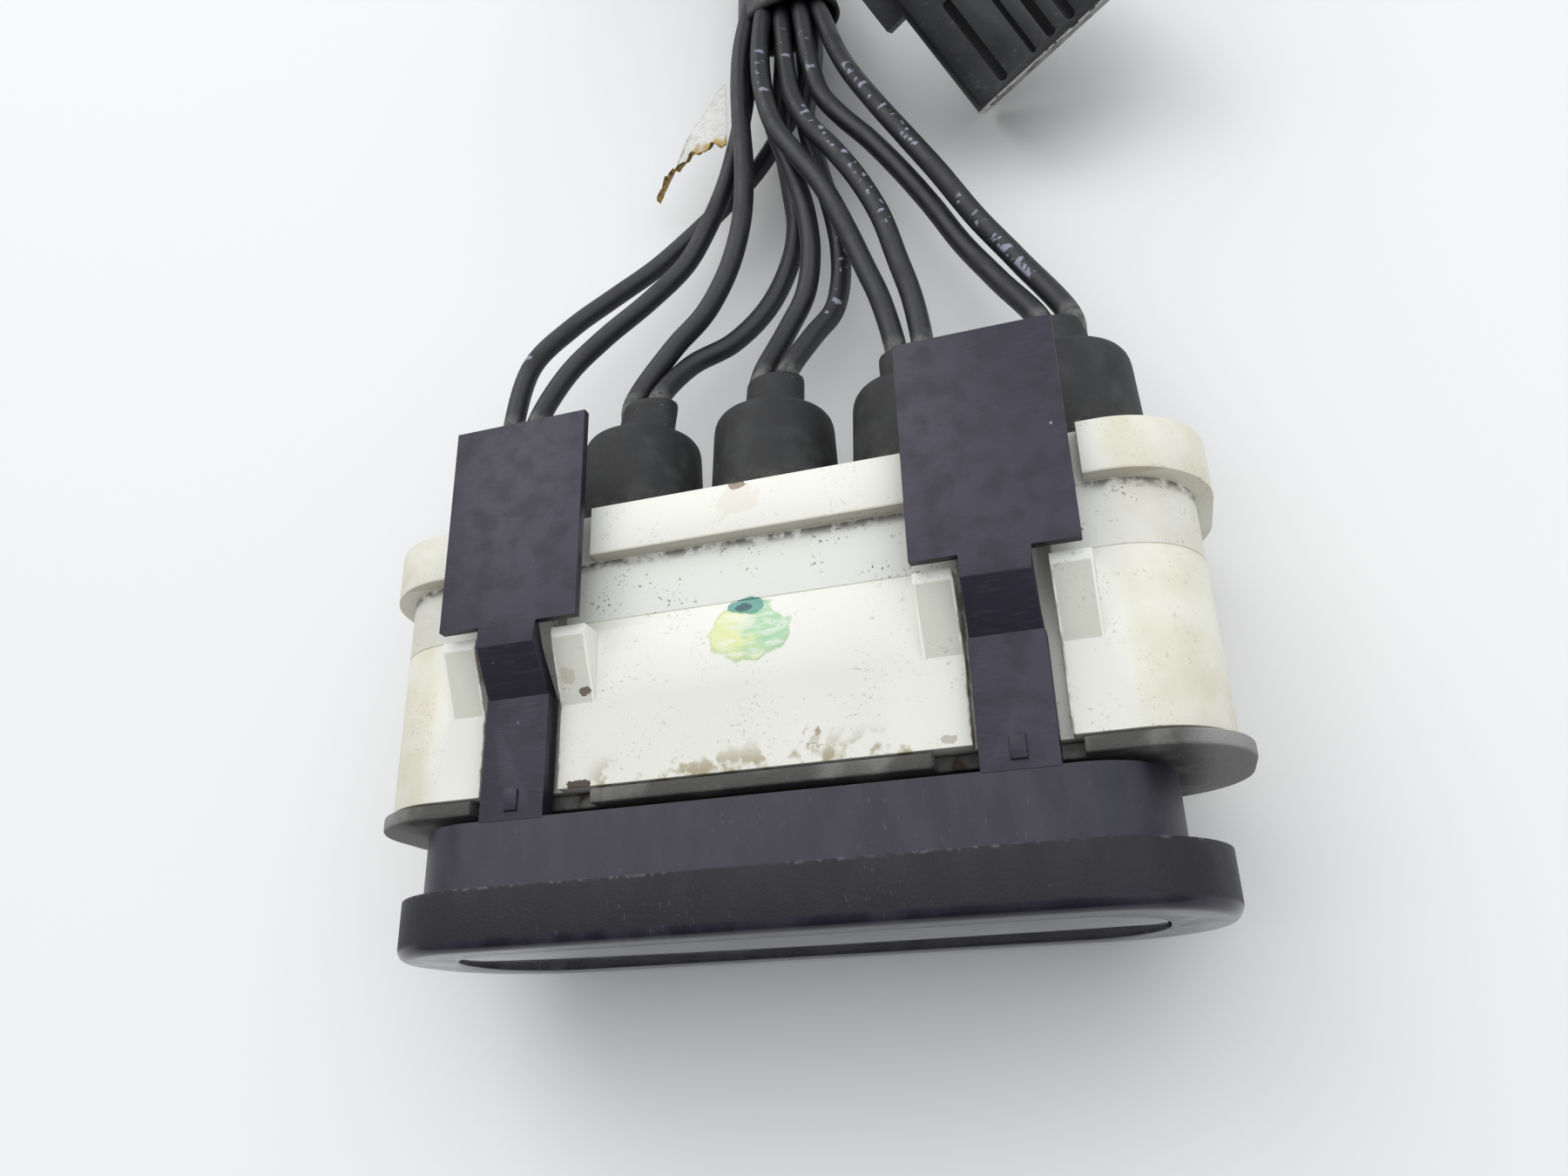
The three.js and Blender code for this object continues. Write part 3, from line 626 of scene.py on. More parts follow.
housing = plate("lamp_housing_shell", HOUSING_FRONT, HOUSING_REAR, **HOUSING, segments=28)
lip = plate("lip", LIP_FRONT, HOUSING_REAR, **LIP, segments=28)
LIP_GAP_FLOOR = HOUSING["half_height"] - 0.6
carve(lip, *four_blocks(LIP_INNER, LIP_OUTER, LIP_FRONT - 1, HOUSING_REAR + 1, LIP_GAP_FLOOR, 20))
carve(housing, lip, operation="UNION")
wedges = [
    wedge(side, x, face) for side in (-1, 1) for face in (-1, 1)
    for x in (CHANNEL_INNER - WEDGE_WIDTH / 2, CHANNEL_OUTER + WEDGE_WIDTH / 2)]
carve(housing, *wedges, operation="UNION")
channels = four_blocks(
    CHANNEL_INNER, CHANNEL_OUTER, HOUSING_FRONT - 1, HOUSING_REAR + 1, CHANNEL_FLOOR, 25)
carve(housing, *channels)
weld_half = WELD_WIDTH / 2
weld = plate("weld", WELD_LINE - weld_half, WELD_LINE + weld_half, **HOUSING, grow=0.5, segments=28)
carve(weld, plate("core", WELD_LINE - 1, WELD_LINE + 1, **HOUSING, grow=-WELD_DEPTH, segments=28))
carve(housing, weld)
CHAMBER_RADIUS, CHAMBER_REAR, BORE_RADIUS = 8.4, 42, 7.3
for x in lamp_x:
    for radius, front, rear in (
        (CHAMBER_RADIUS, HOUSING_FRONT - 1, CHAMBER_REAR),
        (BORE_RADIUS, CHAMBER_REAR - 1, HOUSING_REAR + 1),
    ):
        bpy.ops.object.select_all(action="DESELECT")
        bpy.ops.mesh.primitive_cylinder_add(
            vertices=64, radius=radius * MM, depth=(rear - front) * MM,
            location=at(x, (front + rear) / 2, 0), rotation=(math.pi / 2, 0, 0))
        bpy.ops.object.transform_apply(location=True, rotation=True, scale=True)
        carve(housing, bpy.context.object)
ease(housing, 0.16)
cream = Finish("housing_cream", Specular_IOR_Level=0.5)
clouds = cream.noise(16, 3, shift=1)
cream_color = cream.mix(clouds, (0.74, 0.74, 0.66, 1), (0.82, 0.82, 0.75, 1))
ends = abs(cream.x).ramp(40.5, 45) * (0.35 + 0.65 * cream.noise(6, 3, shift=2).ramp(0.3, 0.7))
cream_color = cream.mix(ends * 0.8, cream_color, (0.62, 0.58, 0.43, 1))
upper = abs(cream.z).ramp(HOUSING["half_height"] + 0.02, HOUSING["half_height"] + 0.1)
# painted shade: the wedges' front slopes are painted greyer than the cream around them, and the same mask
# makes them rougher
wedge_slope_shade = abs(abs(abs(cream.x) - 30.2) - 7.6).ramp(2.1, 1.95) * cream.y.ramp(36.5, 36.2) * upper
cream_color = cream.mix(wedge_slope_shade, cream_color, (0.58, 0.58, 0.5, 1))
deck = cream.y.ramp(WELD_LINE, WELD_LINE + 0.1) * cream.y.ramp(LIP_FRONT, LIP_FRONT - 0.1)
cream_color = cream.mix(deck * 0.25, cream_color, (0.72, 0.73, 0.72, 1))
top_face = cream.z.ramp(13.0, 13.3)
patches = cream.noise(2.6, 5, shift=4)
# darker brown in patches along the housing's front edge by the gasket, between the arms
front_edge_darkening = cream.y.ramp(22.4, 18.4) * patches.ramp(0.5, 0.62) * abs(cream.x).ramp(22, 18)
cream_color = cream.mix(front_edge_darkening * 0.8, cream_color, (0.3, 0.24, 0.1, 1))
smear = cream.spot(6.9, 21.2, 1.4, 1.3, 0.9, 0.9, shift=3) * patches.ramp(0.45, 0.58)
cream_color = cream.mix(smear * 0.8, cream_color, (0.26, 0.17, 0.08, 1))
lip_shade = (
    cream.y.ramp(45.8, 47.2) * cream.y.ramp(47.38, 47.3)
    * cream.noise(1.6, 5, shift=5).ramp(0.36, 0.58))
cream_color = cream.mix(lip_shade * 0.85, cream_color, (0.07, 0.06, 0.045, 1))
# painted shade, with some grime: the lip's front face, above the deck, is painted a darker tan
lip_face_shade_and_grime = abs(cream.y - LIP_FRONT).ramp(0.35, 0.1) * upper
cream_color = cream.mix(lip_face_shade_and_grime * 0.7, cream_color, (0.52, 0.48, 0.37, 1))
peppered = cream.noise(0.45, 2, shift=6).ramp(0.62, 0.69) * cream.noise(5, 3, shift=7).ramp(0.45, 0.62)
cream_color = cream.mix(peppered * (0.3 + 0.7 * deck), cream_color, (0.16, 0.14, 0.11, 1))
# darker brown in patches along the channel walls, on the wedges' inner faces and the strips beside them
channel_wall_darkening = (
    abs(abs(abs(cream.x) - 30.2) - 5.3).ramp(0.3, 0.1)
    * cream.noise(2.4, 5, shift=8).ramp(0.42, 0.6))
cream_color = cream.mix(channel_wall_darkening * 0.7, cream_color, (0.2, 0.14, 0.07, 1))
ink_spread = cream.spot(-0.6, 35.2, 5.3, 3.6, 0.3, 2.4, shift=9) * top_face
ink_inside = cream.spot(-0.6, 35.2, 5.0, 3.3, 0.3, 2.4, shift=9) * top_face
ink_run = (cream.x * 0.2 + (cream.noise(2.4, 3, shift=10) - 0.5) * 3.2).ramp(-0.5, 0.5)
ink_tint = cream.mix(ink_run, (0.66, 0.71, 0.3, 1), (0.3, 0.56, 0.3, 1))
ink_thin = cream.noise(1.3, 5, stretch=(2.2, 0.6, 1), shift=14).ramp(0.4, 0.62)
cream_color = cream.mix(ink_spread * (0.85 - 0.5 * ink_thin), cream_color, ink_tint)
cream_color = cream.mix((ink_spread - ink_inside) * 0.45, cream_color, (0.24, 0.42, 0.16, 1))
teal = cream.spot(-0.5, 38.3, 2.3, 1.1, 0.3, 1.3, shift=11) * top_face
cream_color = cream.mix(teal * 0.85, cream_color, (0.03, 0.25, 0.22, 1))
dark_ink = cream.spot(-1.0, 38.2, 1.0, 0.5, 0.4, 0.9, shift=12) * top_face
cream_color = cream.mix(dark_ink * 0.85, cream_color, (0.006, 0.05, 0.08, 1))
for x, y, half_width, half_depth, strength, tone in (
    (-0.9, 53.8, 1.1, 0.6, 0.9, (0.12, 0.08, 0.04, 1)),
    (-0.9, 51.6, 3.0, 2.2, 0.25, (0.6, 0.5, 0.34, 1)),
    (-21.4, 29.9, 0.75, 0.6, 0.9, (0.09, 0.06, 0.03, 1)),
    (-23.4, 31.9, 1.1, 0.9, 0.35, (0.3, 0.23, 0.13, 1)),
    (-22.2, 18.6, 1.8, 0.6, 0.95, (0.05, 0.025, 0.012, 1)),
    (22.5, 19.2, 1.1, 0.5, 0.5, (0.24, 0.19, 0.09, 1)),
):
    mark = cream.spot(x, y, half_width, half_depth, 0.6, 1.0, shift=x) * top_face * strength
    cream_color = cream.mix(mark, cream_color, tone)
cream_height = cream.noise(0.7, 3, shift=13) * 0.3 + ink_spread * 0.25 + teal * 0.4 - peppered * 0.3
cream_roughness = 0.34 + 0.2 * clouds + 0.25 * wedge_slope_shade - 0.12 * ink_spread + 0.2 * front_edge_darkening
paint(housing, cream.coat(cream_color, cream_roughness, cream_height, 0.04))
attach(housing, "cluster")
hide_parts("lamp_housing")

# ---- Latch arms: two above and two below, moulded with the bezel. A strip runs back from the neck,
# steps outwards on a ramp and ends in a wide finger pad. A hook under the pad holds the housing's lip.
ARM_CENTRE, ARM_WIDTH, ARM_TOP, ARM_UNDER = 29.87, 8.5, 15.3, 12.7
RAMP_START, RAMP_END = 29.8, 35.4
PAD_WIDTH, PAD_TAB, PAD_FRONT, PAD_REAR, PAD_TOP, PAD_UNDER = 18.9, 7.9, 38.1, 66.8, 19.3, 18.1
ARM_ROOT = 14.9 + SEAT_GAP
ARM_OVERLAP = 0.5
HOOK_WIDTH, HOOK_FRONT, HOOK_REAR, HOOK_TIP = 7.6, 54.4, 57.2, 10.2
STUD_WIDTH, STUD_HEIGHT = 1.8, 0.35
arm_nylon = Finish("arm_nylon", Specular_IOR_Level=0.55, Specular_Tint=(0.88, 0.85, 1.0, 1))
mottle = arm_nylon.noise(3.2, 4, shift=2).ramp(0.4, 0.68)
streaks = arm_nylon.noise(1.6, 5, stretch=(1.6, 0.22, 1), shift=7).ramp(0.52, 0.72)
arm_color = arm_nylon.mix(mottle * 0.8, (0.009, 0.0075, 0.0165, 1), (0.005, 0.0045, 0.008, 1))
arm_color = arm_nylon.mix(streaks * 0.3, arm_color, (0.045, 0.042, 0.056, 1))
arm_color = arm_nylon.mix(arm_nylon.specks(3.1, 0.07), arm_color, (0.3, 0.3, 0.31, 1))
arm_height = arm_nylon.noise(0.5, 4) + streaks * 0.5
arm_nylon.coat(arm_color, 0.42 + 0.1 * mottle + 0.1 * streaks, arm_height, 0.015)
strip_rings = [
    (ARM_ROOT - ARM_OVERLAP, ARM_WIDTH, ARM_UNDER, ARM_TOP), (RAMP_START, ARM_WIDTH, ARM_UNDER, ARM_TOP),
    (RAMP_START, PAD_TAB, ARM_UNDER, ARM_TOP), (RAMP_END, PAD_TAB, ARM_UNDER + 4.2, PAD_TOP),
    (PAD_FRONT, PAD_TAB, PAD_UNDER, PAD_TOP), (PAD_FRONT, PAD_WIDTH, PAD_UNDER, PAD_TOP),
    (PAD_REAR, PAD_WIDTH, PAD_UNDER, PAD_TOP)]


def latch_arm(name, side, face):
    """The strip is drawn back section by section, and the hook and the small stud are joined to it."""
    bpy.ops.object.select_all(action="DESELECT")
    back, width, under, top = strip_rings[0]
    bpy.ops.mesh.primitive_plane_add(
        size=1, location=at(ARM_CENTRE, back, (under + top) / 2), rotation=(math.pi / 2, 0, 0))
    arm = bpy.context.object
    arm.name = name
    arm.scale = (width * MM, (top - under) * MM, 1)
    bpy.ops.object.transform_apply(location=True, rotation=True, scale=True)
    bpy.ops.object.mode_set(mode="EDIT")
    bpy.ops.mesh.select_mode(type="FACE")
    bpy.ops.mesh.select_all(action="SELECT")
    for before, after in zip(strip_rings, strip_rings[1:]):
        step = (after[0] - before[0], (after[2] + after[3] - before[2] - before[3]) / 2)
        bpy.ops.mesh.extrude_region_move(
            TRANSFORM_OT_translate={"value": (0, step[0] * MM, step[1] * MM)})
        bpy.ops.transform.resize(
            value=(after[1] / before[1], 1, (after[3] - after[2]) / (before[3] - before[2])),
            center_override=at(ARM_CENTRE, after[0], (after[2] + after[3]) / 2))
    bpy.ops.mesh.select_all(action="SELECT")
    bpy.ops.mesh.normals_make_consistent(inside=False)
    bpy.ops.object.mode_set(mode="OBJECT")
    hook = block(
        "hook", at(ARM_CENTRE - HOOK_WIDTH / 2, HOOK_FRONT, HOOK_TIP),
        at(ARM_CENTRE + HOOK_WIDTH / 2, HOOK_REAR, PAD_UNDER + 1))
    stud = block(
        "stud", at(ARM_CENTRE - STUD_WIDTH / 2, ARM_ROOT + 0.6, ARM_TOP - 0.5),
        at(ARM_CENTRE + STUD_WIDTH / 2, ARM_ROOT + 3.2, ARM_TOP + STUD_HEIGHT))
    carve(arm, hook, stud, operation="UNION")
    for vertex in arm.data.vertices:
        sideways, above = vertex.co.x, vertex.co.z - middle_z
        vertex.co.x = side * sideways
        vertex.co.z = middle_z + face * above
    if side * face < 0:
        make_active(arm)
        bpy.ops.object.mode_set(mode="EDIT")
        bpy.ops.mesh.select_all(action="SELECT")
        bpy.ops.mesh.flip_normals()
        bpy.ops.object.mode_set(mode="OBJECT")
    ease(arm, 0.12)
    paint(arm, arm_nylon.material)
    return arm


for height, face in (("top", 1), ("bottom", -1)):
    for hand, side in (("left", -1), ("right", 1)):
        node = f"latch_arm_{height}_{hand}"
        arm = latch_arm(f"{node}_moulding", side, face)
        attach(arm, node)
        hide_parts(node)

# ---- Lamps: a wedge-base bulb in a black holder, under a moulded rubber boot.
# The boot's nipple grips the lamp's two wires and leans the way that they pull it.
BOOT_SIDES = 32
NIPPLE_ROOT = 71.5
NIPPLE_LEAN = (0.16, 0.16, 0.06, -0.05, -0.14)
boot_rings = [
    (0.4, 0.4, 67.8), (7.2, 7.2, 67.8), (7.3, 7.3, 67.2), (7.3, 7.3, 55.0), (7.6, 7.6, 54.4),
    (8.8, 8.8, 54.4), (9.1, 9.1, 54.8), (9.08, 9.08, 57), (8.85, 8.85, 63), (8.65, 8.65, 67.4),
    (8.6, 8.6, 69.4), (8.4, 8.4, 70.5), (7.8, 7.8, 71.2), (6.6, 6.4, 71.45), (4.9, 3.9, 71.6),
    (4.4, 3.2, 72.2), (4.3, 3.05, 75), (4.3, 3.0, 77.6), (4.15, 2.85, 78.2), (3.85, 2.55, 78.3),
    (3.6, 2.25, 77.9), (3.5, 2.1, 76), (3.4, 2.0, 73.6), (0.4, 0.4, 73.4)]


def drawn_skin(name, centre_x, rings, sides):
    """A round skin drawn backwards, ring by ring, from a pole to a pole."""
    bpy.ops.object.select_all(action="DESELECT")
    width, height, back = rings[0]
    bpy.ops.mesh.primitive_circle_add(
        vertices=sides, radius=1, location=at(centre_x, back, 0), rotation=(math.pi / 2, 0, 0))
    piece = bpy.context.object
    piece.name = name
    piece.scale = (width * MM, height * MM, 1)
    bpy.ops.object.transform_apply(location=True, rotation=True, scale=True)
    bpy.ops.object.mode_set(mode="EDIT")
    bpy.ops.mesh.select_mode(type="VERT")
    bpy.ops.mesh.select_all(action="SELECT")
    bpy.ops.mesh.edge_face_add()
    for before, after in zip(rings, rings[1:]):
        bpy.ops.mesh.extrude_region_move(
            TRANSFORM_OT_translate={"value": (0, (after[2] - before[2]) * MM, 0)})
        bpy.ops.transform.resize(
            value=(after[0] / before[0], 1, after[1] / before[1]),
            center_override=at(centre_x, after[2], 0))
    bpy.ops.mesh.select_all(action="SELECT")
    bpy.ops.mesh.normals_make_consistent(inside=False)
    bpy.ops.object.mode_set(mode="OBJECT")
    return piece


rubber = Finish("boot_rubber_finish", Specular_IOR_Level=0.35)
chalk = rubber.noise(4.5, 4, shift=1).ramp(0.42, 0.7)
rubber_color = rubber.mix(chalk, (0.019, 0.019, 0.0195, 1), (0.046, 0.046, 0.046, 1))
front_dust = rubber.y.ramp(61, 55) * rubber.noise(1.3, 4, shift=3).ramp(0.42, 0.62)
rubber_color = rubber.mix(front_dust * 0.6, rubber_color, (0.12, 0.11, 0.075, 1))
rubber_color = rubber.mix(rubber.specks(1.3, 0.08, shift=2), rubber_color, (0.28, 0.28, 0.26, 1))
rubber_height = rubber.noise(0.5, 3) + 0.6 * rubber.noise(3, 2, shift=4)
rubber.coat(rubber_color, 0.62 + 0.2 * chalk, rubber_height, 0.03)
for k, x in enumerate(lamp_x, start=1):
    boot = drawn_skin(f"boot_{k}_rubber", x, boot_rings, BOOT_SIDES)
    make_active(boot)
    subdivision = boot.modifiers.new("smooth", "SUBSURF")
    subdivision.levels = subdivision.render_levels = 1
    bpy.ops.object.modifier_apply(modifier=subdivision.name)
    for vertex in boot.data.vertices:
        behind = (vertex.co.y - face_y) / MM - NIPPLE_ROOT
        if behind > 0:
            vertex.co.x += NIPPLE_LEAN[k - 1] * behind * MM
    boot.data.shade_smooth()
    paint(boot, rubber.material)
    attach(boot, f"lamp_{k}")
    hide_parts(f"boot_{k}")

# The holder is a black nylon barrel with a flange that stops it in its bore and a pocket for the bulb.
holder_rings = [
    (0.4, 0.4, 50.0), (5.3, 5.3, 50.0), (5.3, 5.3, 43.4), (5.6, 5.6, 43.0), (6.7, 6.7, 43.0),
    (7.0, 7.0, 43.3), (7.0, 7.0, 46.0), (6.7, 6.7, 46.4), (6.7, 6.7, 47.4), (7.0, 7.0, 47.8),
    (7.0, 7.0, 66.9), (6.4, 6.4, 67.5), (0.4, 0.4, 67.5)]
nylon = Finish("holder_nylon", Specular_IOR_Level=0.5)
nylon_wear = nylon.noise(2.4, 4, stretch=(1, 0.3, 1), shift=2).ramp(0.5, 0.7)
nylon.coat(
    nylon.mix(nylon_wear, (0.02, 0.02, 0.021, 1), (0.06, 0.058, 0.055, 1)), 0.4 + 0.25 * nylon_wear,
    nylon.noise(0.4, 3), 0.015)
for k, x in enumerate(lamp_x, start=1):
    holder = drawn_skin(f"lamp_holder_{k}_barrel", x, holder_rings, BOOT_SIDES)
    ease(holder, 0.05, 1, 50)
    paint(holder, nylon.material)
    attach(holder, f"lamp_{k}")
    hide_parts(f"lamp_holder_{k}")

# The bulb is blown glass, drawn in to a flat wedge that the holder's springs grip.
bulb_rings = [
    (0.5, 0.5, 26.5), (2.4, 2.4, 27.0), (3.8, 3.8, 28.3), (4.7, 4.7, 30.4), (5.0, 5.0, 33),
    (5.0, 5.0, 38.6), (4.8, 3.9, 40.8), (4.6, 2.6, 42.2), (4.6, 2.1, 43.4), (4.6, 2.1, 48.9),
    (4.3, 1.8, 49.6), (0.5, 0.5, 49.7)]
glass = Finish("bulb_clear_glass", Transmission_Weight=1.0, IOR=1.45)
glass_film = glass.noise(3, 3, shift=5).ramp(0.4, 0.7)
glass.coat(
    glass.mix(glass_film, (0.93, 0.94, 0.94, 1), (0.86, 0.86, 0.83, 1)), 0.03 + 0.08 * glass_film,
    glass.noise(2.5, 2), 0.01)
for k, x in enumerate(lamp_x, start=1):
    bulb = drawn_skin(f"bulb_{k}_glass", x, bulb_rings, 24)
    make_active(bulb)
    subdivision = bulb.modifiers.new("smooth", "SUBSURF")
    subdivision.levels = subdivision.render_levels = 1
    bpy.ops.object.modifier_apply(modifier=subdivision.name)
    bulb.data.shade_smooth()
    paint(bulb, glass.material)
    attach(bulb, f"lamp_{k}")
    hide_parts(f"bulb_{k}")

# ---- Tag: what is left of a label of clear film, caught between the wires.
# It lies in a low arch over the table. Its front edge is torn and curled, brown with old glue.
bpy.ops.object.select_all(action="DESELECT")
bpy.ops.mesh.primitive_grid_add(x_subdivisions=48, y_subdivisions=24, size=1)
tag = bpy.context.object
tag.name = "tag_film"
TAG_ARCH = [(-26.2, 130.4, -15.4), (-24.6, 131.4, -13.2), (-22.2, 131.8, -10.9), (-19.2, 131.5, -9.0),
            (-16, 131.7, -7.8), (-12.9, 131.4, -7.0), (-10, 130.6, -6.7)]
TAG_REAR = [(-21.4, 133.0, -10.6), (-19.4, 135.6, -9.4), (-17.4, 138.2, -8.5), (-15.6, 140.8, -7.9),
            (-13.9, 143.2, -7.5), (-12.2, 145.2, -7.2), (-10.2, 146.4, -7.1)]


def along_points(points, share):
    """The place a share of the way along a row of points."""
    step = min(share, 0.9999) * (len(points) - 1)
    first = int(step)
    return Vector(points[first]).lerp(Vector(points[first + 1]), step - first)


for vertex in tag.data.vertices:
    across, back = vertex.co.x + 0.5, vertex.co.y + 0.5
    front = along_points(TAG_ARCH, across)
    rear = along_points(TAG_REAR, across)
    ragged = 0.5 * math.sin(across * 23) + 0.35 * math.sin(across * 51 + 1) + 0.2 * math.sin(across * 97)
    curl = max(0.0, 0.12 - back) / 0.12
    spot = front.lerp(rear, back)
    spot.y += (1 - back) * ragged * 0.9 + curl * 0.9
    spot.z += curl * (0.9 + 0.3 * math.sin(across * 31)) + 0.35 * math.sin(across * 9 + back * 5) * back
    vertex.co = at(*spot)
make_active(tag)
thickness = tag.modifiers.new("film", "SOLIDIFY")
thickness.thickness = 0.14 * MM
bpy.ops.object.modifier_apply(modifier=thickness.name)
bpy.ops.object.mode_set(mode="EDIT")
bpy.ops.mesh.select_all(action="SELECT")
bpy.ops.mesh.normals_make_consistent(inside=False)
bpy.ops.object.mode_set(mode="OBJECT")
tag.data.shade_smooth()
film_tag = Finish("tag_clear_film", Specular_IOR_Level=0.4)
tag_uv = film_tag.node("ShaderNodeUVMap", {"uv_map": "UVMap"})
back = film_tag.node("ShaderNodeSeparateXYZ", values={0: tag_uv}, output="Y")
wander = (film_tag.noise(2.2, 4, shift=2) - 0.5) * 0.3
age = (back + wander).ramp(0.3, 0.16)
edge_dirt = (back + wander).ramp(0.1, 0.02) * film_tag.noise(0.9, 4, shift=4).ramp(0.36, 0.55)
veins = film_tag.noise(1.4, 5, stretch=(1, 0.4, 1), shift=6).ramp(0.52, 0.6)
tag_color = film_tag.mix(age, (0.74, 0.73, 0.68, 1), (0.5, 0.33, 0.09, 1))
tag_color = film_tag.mix(veins * 0.35, tag_color, (0.3, 0.25, 0.18, 1))
tag_color = film_tag.mix(edge_dirt * 0.8, tag_color, (0.06, 0.04, 0.02, 1))
clearness = 0.3 + 0.62 * age + 0.15 * veins
film_tag.tree.links.new(clearness.socket, film_tag.shader.inputs["Alpha"])
paint(tag, film_tag.coat(tag_color, 0.4 + 0.2 * age, film_tag.noise(0.8, 3), 0.05))
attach(tag, "cluster")
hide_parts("tag")

# ---- Plug: a ribbed black housing that leans on its harness, nose down, on one corner.
# A grid closes its mating end, a cover with a collar its rear, and a sprung tongue lies underneath.
PLUG_WIDTH, PLUG_LENGTH, PLUG_HEIGHT = 36, 42, 17
PLUG_TURN = Euler([math.radians(turn) for turn in (40, -20.5, 20.2)])
PLUG_OUTLINE = dict(half_width=PLUG_WIDTH / 2, half_height=PLUG_HEIGHT / 2, corner=2.6)
WAYS = [((column - 2.5) * 5.2, (row - 0.5) * 5.6) for row in range(2) for column in range(6)]
PLUG_CORNER = (32.8, 137.1, -19.3)
plug_place = (
    Matrix.Translation(at(*PLUG_CORNER)) @ PLUG_TURN.to_matrix().to_4x4()
    @ Matrix.Translation(Vector((PLUG_WIDTH / 2, 0, PLUG_HEIGHT / 2)) * MM - at(0, 0, 0)))


def plug_block(x0, x1, y0, y1, z0, z1):
    return block("cutter", at(x0, y0, z0), at(x1, y1, z1))


def settle(piece, node, material, body="cluster"):
    """Moves a finished plug piece from the drawing position to where the plug lies."""
    piece.data.transform(plug_place)
    paint(piece, material)
    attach(piece, body)
    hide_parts(node)


shell = plate("plug_shell", 0, PLUG_LENGTH, **PLUG_OUTLINE, segments=6)
RIM = 1.9
GRID_INSET, GRID_REAR = 2.2, 2.6
carve(
    shell,
    plate("recess", -1, GRID_REAR + 0.3, PLUG_WIDTH / 2 - RIM, PLUG_HEIGHT / 2 - RIM, 0.7, segments=3))
LUG_REACH, LUG_FRONT, LUG_REAR, LUG_LOW, LUG_HIGH = 3.4, 19.4, 27.5, -0.5, 5
lug = plug_block(-PLUG_WIDTH / 2 - LUG_REACH, -PLUG_WIDTH / 2 + 1, LUG_FRONT, LUG_REAR, LUG_LOW, LUG_HIGH)
carve(shell, lug, operation="UNION")
for x, rear, half_width, depth in (
    (-11.8, 16, 0.75, 1.5), (-6.1, 30, 0.45, 1.2), (-2.7, 30, 0.75, 1.5), (0.85, 30, 0.8, 1.5),
    (4.4, 30, 0.5, 1.2), (11.8, 16, 0.75, 1.5),
):
    groove = plug_block(
        x - half_width, x + half_width, 1.2, rear,
        PLUG_HEIGHT / 2 - depth, PLUG_HEIGHT / 2 + 1)
    bevel_edges(groove, lambda a, b: abs(a.z - b.z) > 0.01 * MM, half_width * 0.9, 4)
    carve(shell, groove)
WAY_HALF, SLOT_HALF = 1.25, 0.95
for x, z in WAYS:
    carve(shell, plug_block(x - WAY_HALF, x + WAY_HALF, 0, 35, z - WAY_HALF, z + WAY_HALF))
for x, _ in WAYS[:6]:
    carve(shell, plug_block(x - 1.5, x + 1.5, -1, 1.4, PLUG_HEIGHT / 2 - 2.5, PLUG_HEIGHT / 2 - 0.6))
SEAL_HALF_WIDTH, SEAL_HALF_HEIGHT, SEAL_GAP = 15.3, 5.8, 0.3
seal_room = (SEAL_HALF_WIDTH + SEAL_GAP, SEAL_HALF_HEIGHT + SEAL_GAP)
carve(shell, plug_block(-seal_room[0], seal_room[0], 34, PLUG_LENGTH + 1, -seal_room[1], seal_room[1]))
ease(shell, 0.25)
moulded = Finish("plug_nylon", Specular_IOR_Level=0.45)
haze = moulded.noise(9, 3, shift=3).ramp(0.3, 0.7)
rubs = moulded.noise(1.4, 5, stretch=(1, 0.4, 1), shift=6).ramp(0.58, 0.7)
plug_color = moulded.mix(haze, (0.022, 0.022, 0.024, 1), (0.04, 0.04, 0.043, 1))
plug_color = moulded.mix(rubs * 0.3, plug_color, (0.12, 0.12, 0.12, 1))


def plug_distance(axis):
    """Millimetres from the plug's lowest corner along one of its own axes."""
    way = PLUG_TURN.to_matrix() @ Vector(axis)
    across, behind, above = PLUG_CORNER
    return (moulded.x - across) * way.x + (moulded.y - behind) * way.y + (moulded.z - above) * way.z


from_end, from_bottom = plug_distance((0, 1, 0)), plug_distance((0, 0, 1))
from_middle = abs(plug_distance((1, 0, 0)) - PLUG_WIDTH / 2)
# painted shade: the plug's top is painted near-black where it lies more than 0.3 mm below its top face,
# in the grooves and notches
groove_shade = (
    from_bottom.ramp(PLUG_HEIGHT - 0.3, PLUG_HEIGHT - 0.6) * from_bottom.ramp(12, 13)
    * from_middle.ramp(PLUG_WIDTH / 2 - 0.4, PLUG_WIDTH / 2 - 0.6) * from_end.ramp(0.8, 1.1))
plug_color = moulded.mix(groove_shade * 0.9, plug_color, (0.002, 0.002, 0.003, 1))
rim_scrapes = from_end.ramp(0.3, 0.12) * moulded.noise(0.8, 4, shift=9).ramp(0.36, 0.48)
plug_color = moulded.mix(rim_scrapes * 0.9, plug_color, (0.55, 0.54, 0.5, 1))
moulded.coat(plug_color, 0.42 + 0.15 * haze + 0.1 * rubs, moulded.noise(0.3, 2) + rubs * 0.4, 0.02)
settle(shell, "plug_housing", moulded.material)

grid = plate(
    "plug_grid_plate", 0, GRID_REAR, PLUG_WIDTH / 2 - GRID_INSET, PLUG_HEIGHT / 2 - GRID_INSET, 0.4,
    segments=3)
for x, z in WAYS:
    carve(grid, plug_block(x - SLOT_HALF, x + SLOT_HALF, -1, 4, z - SLOT_HALF, z + SLOT_HALF))
ease(grid, 0.15)
worn = Finish("plug_grid_worn", Specular_IOR_Level=0.45)
scrapes = worn.noise(1.3, 5, stretch=(1, 1, 1.6), shift=1).ramp(0.42, 0.58)
settle(grid, "plug_grid", worn.coat(
    worn.mix(scrapes, (0.05, 0.05, 0.052, 1), (0.34, 0.34, 0.33, 1)), 0.5 + 0.15 * scrapes,
    scrapes + worn.noise(0.4, 3), 0.05))

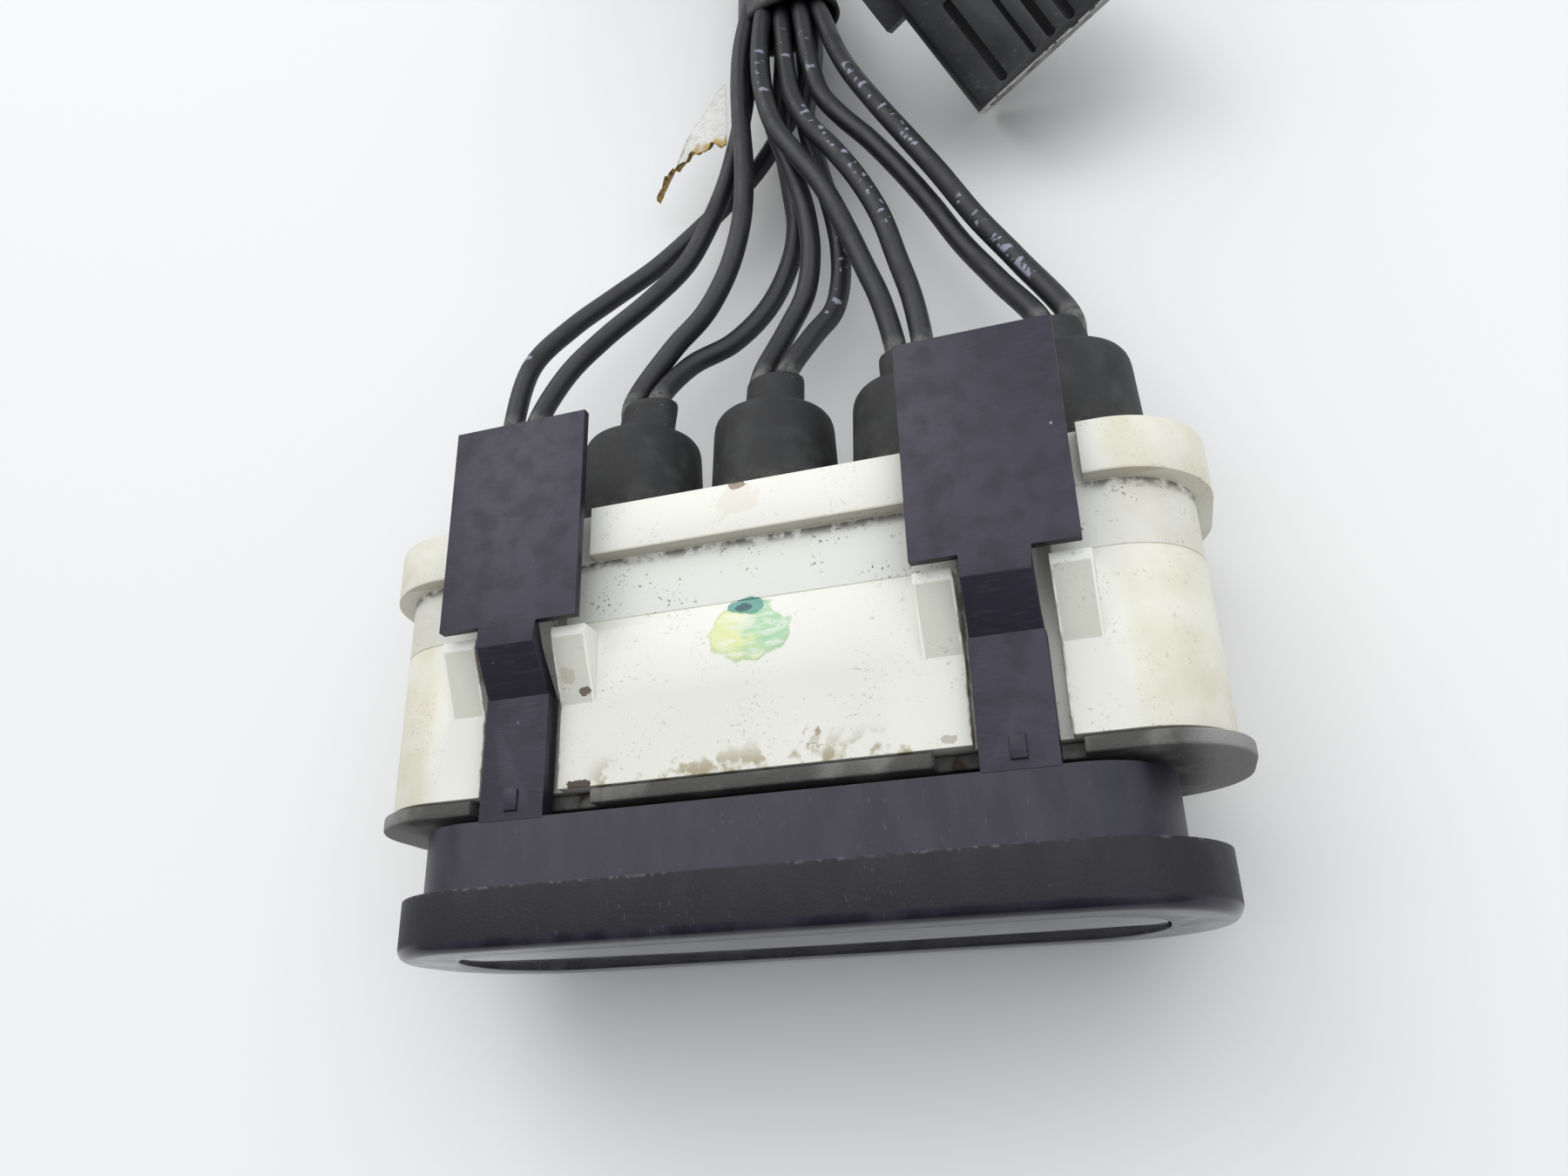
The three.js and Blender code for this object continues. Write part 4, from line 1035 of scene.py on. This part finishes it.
seal = plug_block(-SEAL_HALF_WIDTH, SEAL_HALF_WIDTH, 34.3, 38, -SEAL_HALF_HEIGHT, SEAL_HALF_HEIGHT)
seal.name = "plug_seal_rubber"
for x, z in WAYS:
    dimple = plug_block(x - 1.1, x + 1.1, 37.2, 39, z - 1.1, z + 1.1)
    carve(seal, dimple)
ease(seal, 0.3, 3)
silicone = Finish("plug_seal_silicone", Specular_IOR_Level=0.4)
silicone_dust = silicone.noise(1.5, 4, shift=3).ramp(0.45, 0.7)
settle(seal, "plug_seal", silicone.coat(
    silicone.mix(silicone_dust, (0.03, 0.03, 0.03, 1), (0.07, 0.068, 0.06, 1)),
    0.6 + 0.2 * silicone_dust, silicone.noise(0.5, 3), 0.03))

cover = plate("plug_cover", 42.3, 46, PLUG_WIDTH / 2 - 0.4, PLUG_HEIGHT / 2 - 0.4, 2.2, segments=6)
tenon = plug_block(-SEAL_HALF_WIDTH, SEAL_HALF_WIDTH, 38.3, 43, -SEAL_HALF_HEIGHT, SEAL_HALF_HEIGHT)
carve(cover, tenon, operation="UNION")
bpy.ops.object.select_all(action="DESELECT")
bpy.ops.mesh.primitive_cylinder_add(
    vertices=48, radius=8.1 * MM, depth=9 * MM, location=at(0, 49.5, 0), rotation=(math.pi / 2, 0, 0))
bpy.ops.object.transform_apply(location=True, rotation=True, scale=True)
carve(cover, bpy.context.object, operation="UNION")
ease(cover, 0.4, 3)
settle(cover, "plug_rear_cover", moulded.material)

tongue = plug_block(-4, 4, 6, 30, -10.4, -8.8)
tongue.name = "plug_latch_tongue"
barb = plug_block(-4, 4, 6.6, 10.6, -12.1, -10)
bevel_edges(
    barb, lambda a, b: max(a.y, b.y) < face_y + 7 * MM and max(a.z, b.z) < middle_z - 12 * MM, 1.4, 2)
carve(tongue, barb, operation="UNION")
ease(tongue, 0.2)
settle(tongue, "plug_latch", moulded.material, body="plug_latch")

# The contacts are tinned brass blades. Only their tips show, deep inside the grid.
tinned = Finish("contact_tinned_brass", Metallic=1.0)
tarnish = tinned.noise(1.2, 4, stretch=(1, 0.5, 1), shift=2).ramp(0.4, 0.7)
tinned.coat(
    tinned.mix(tarnish, (0.62, 0.48, 0.22, 1), (0.3, 0.2, 0.1, 1)), 0.25 + 0.35 * tarnish,
    tinned.noise(0.5, 3), 0.01)
for way in range(1, 11):
    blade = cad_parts[f"plug_contact_{way}"]
    for blade_slot in blade.material_slots:
        blade_slot.material = tinned.material
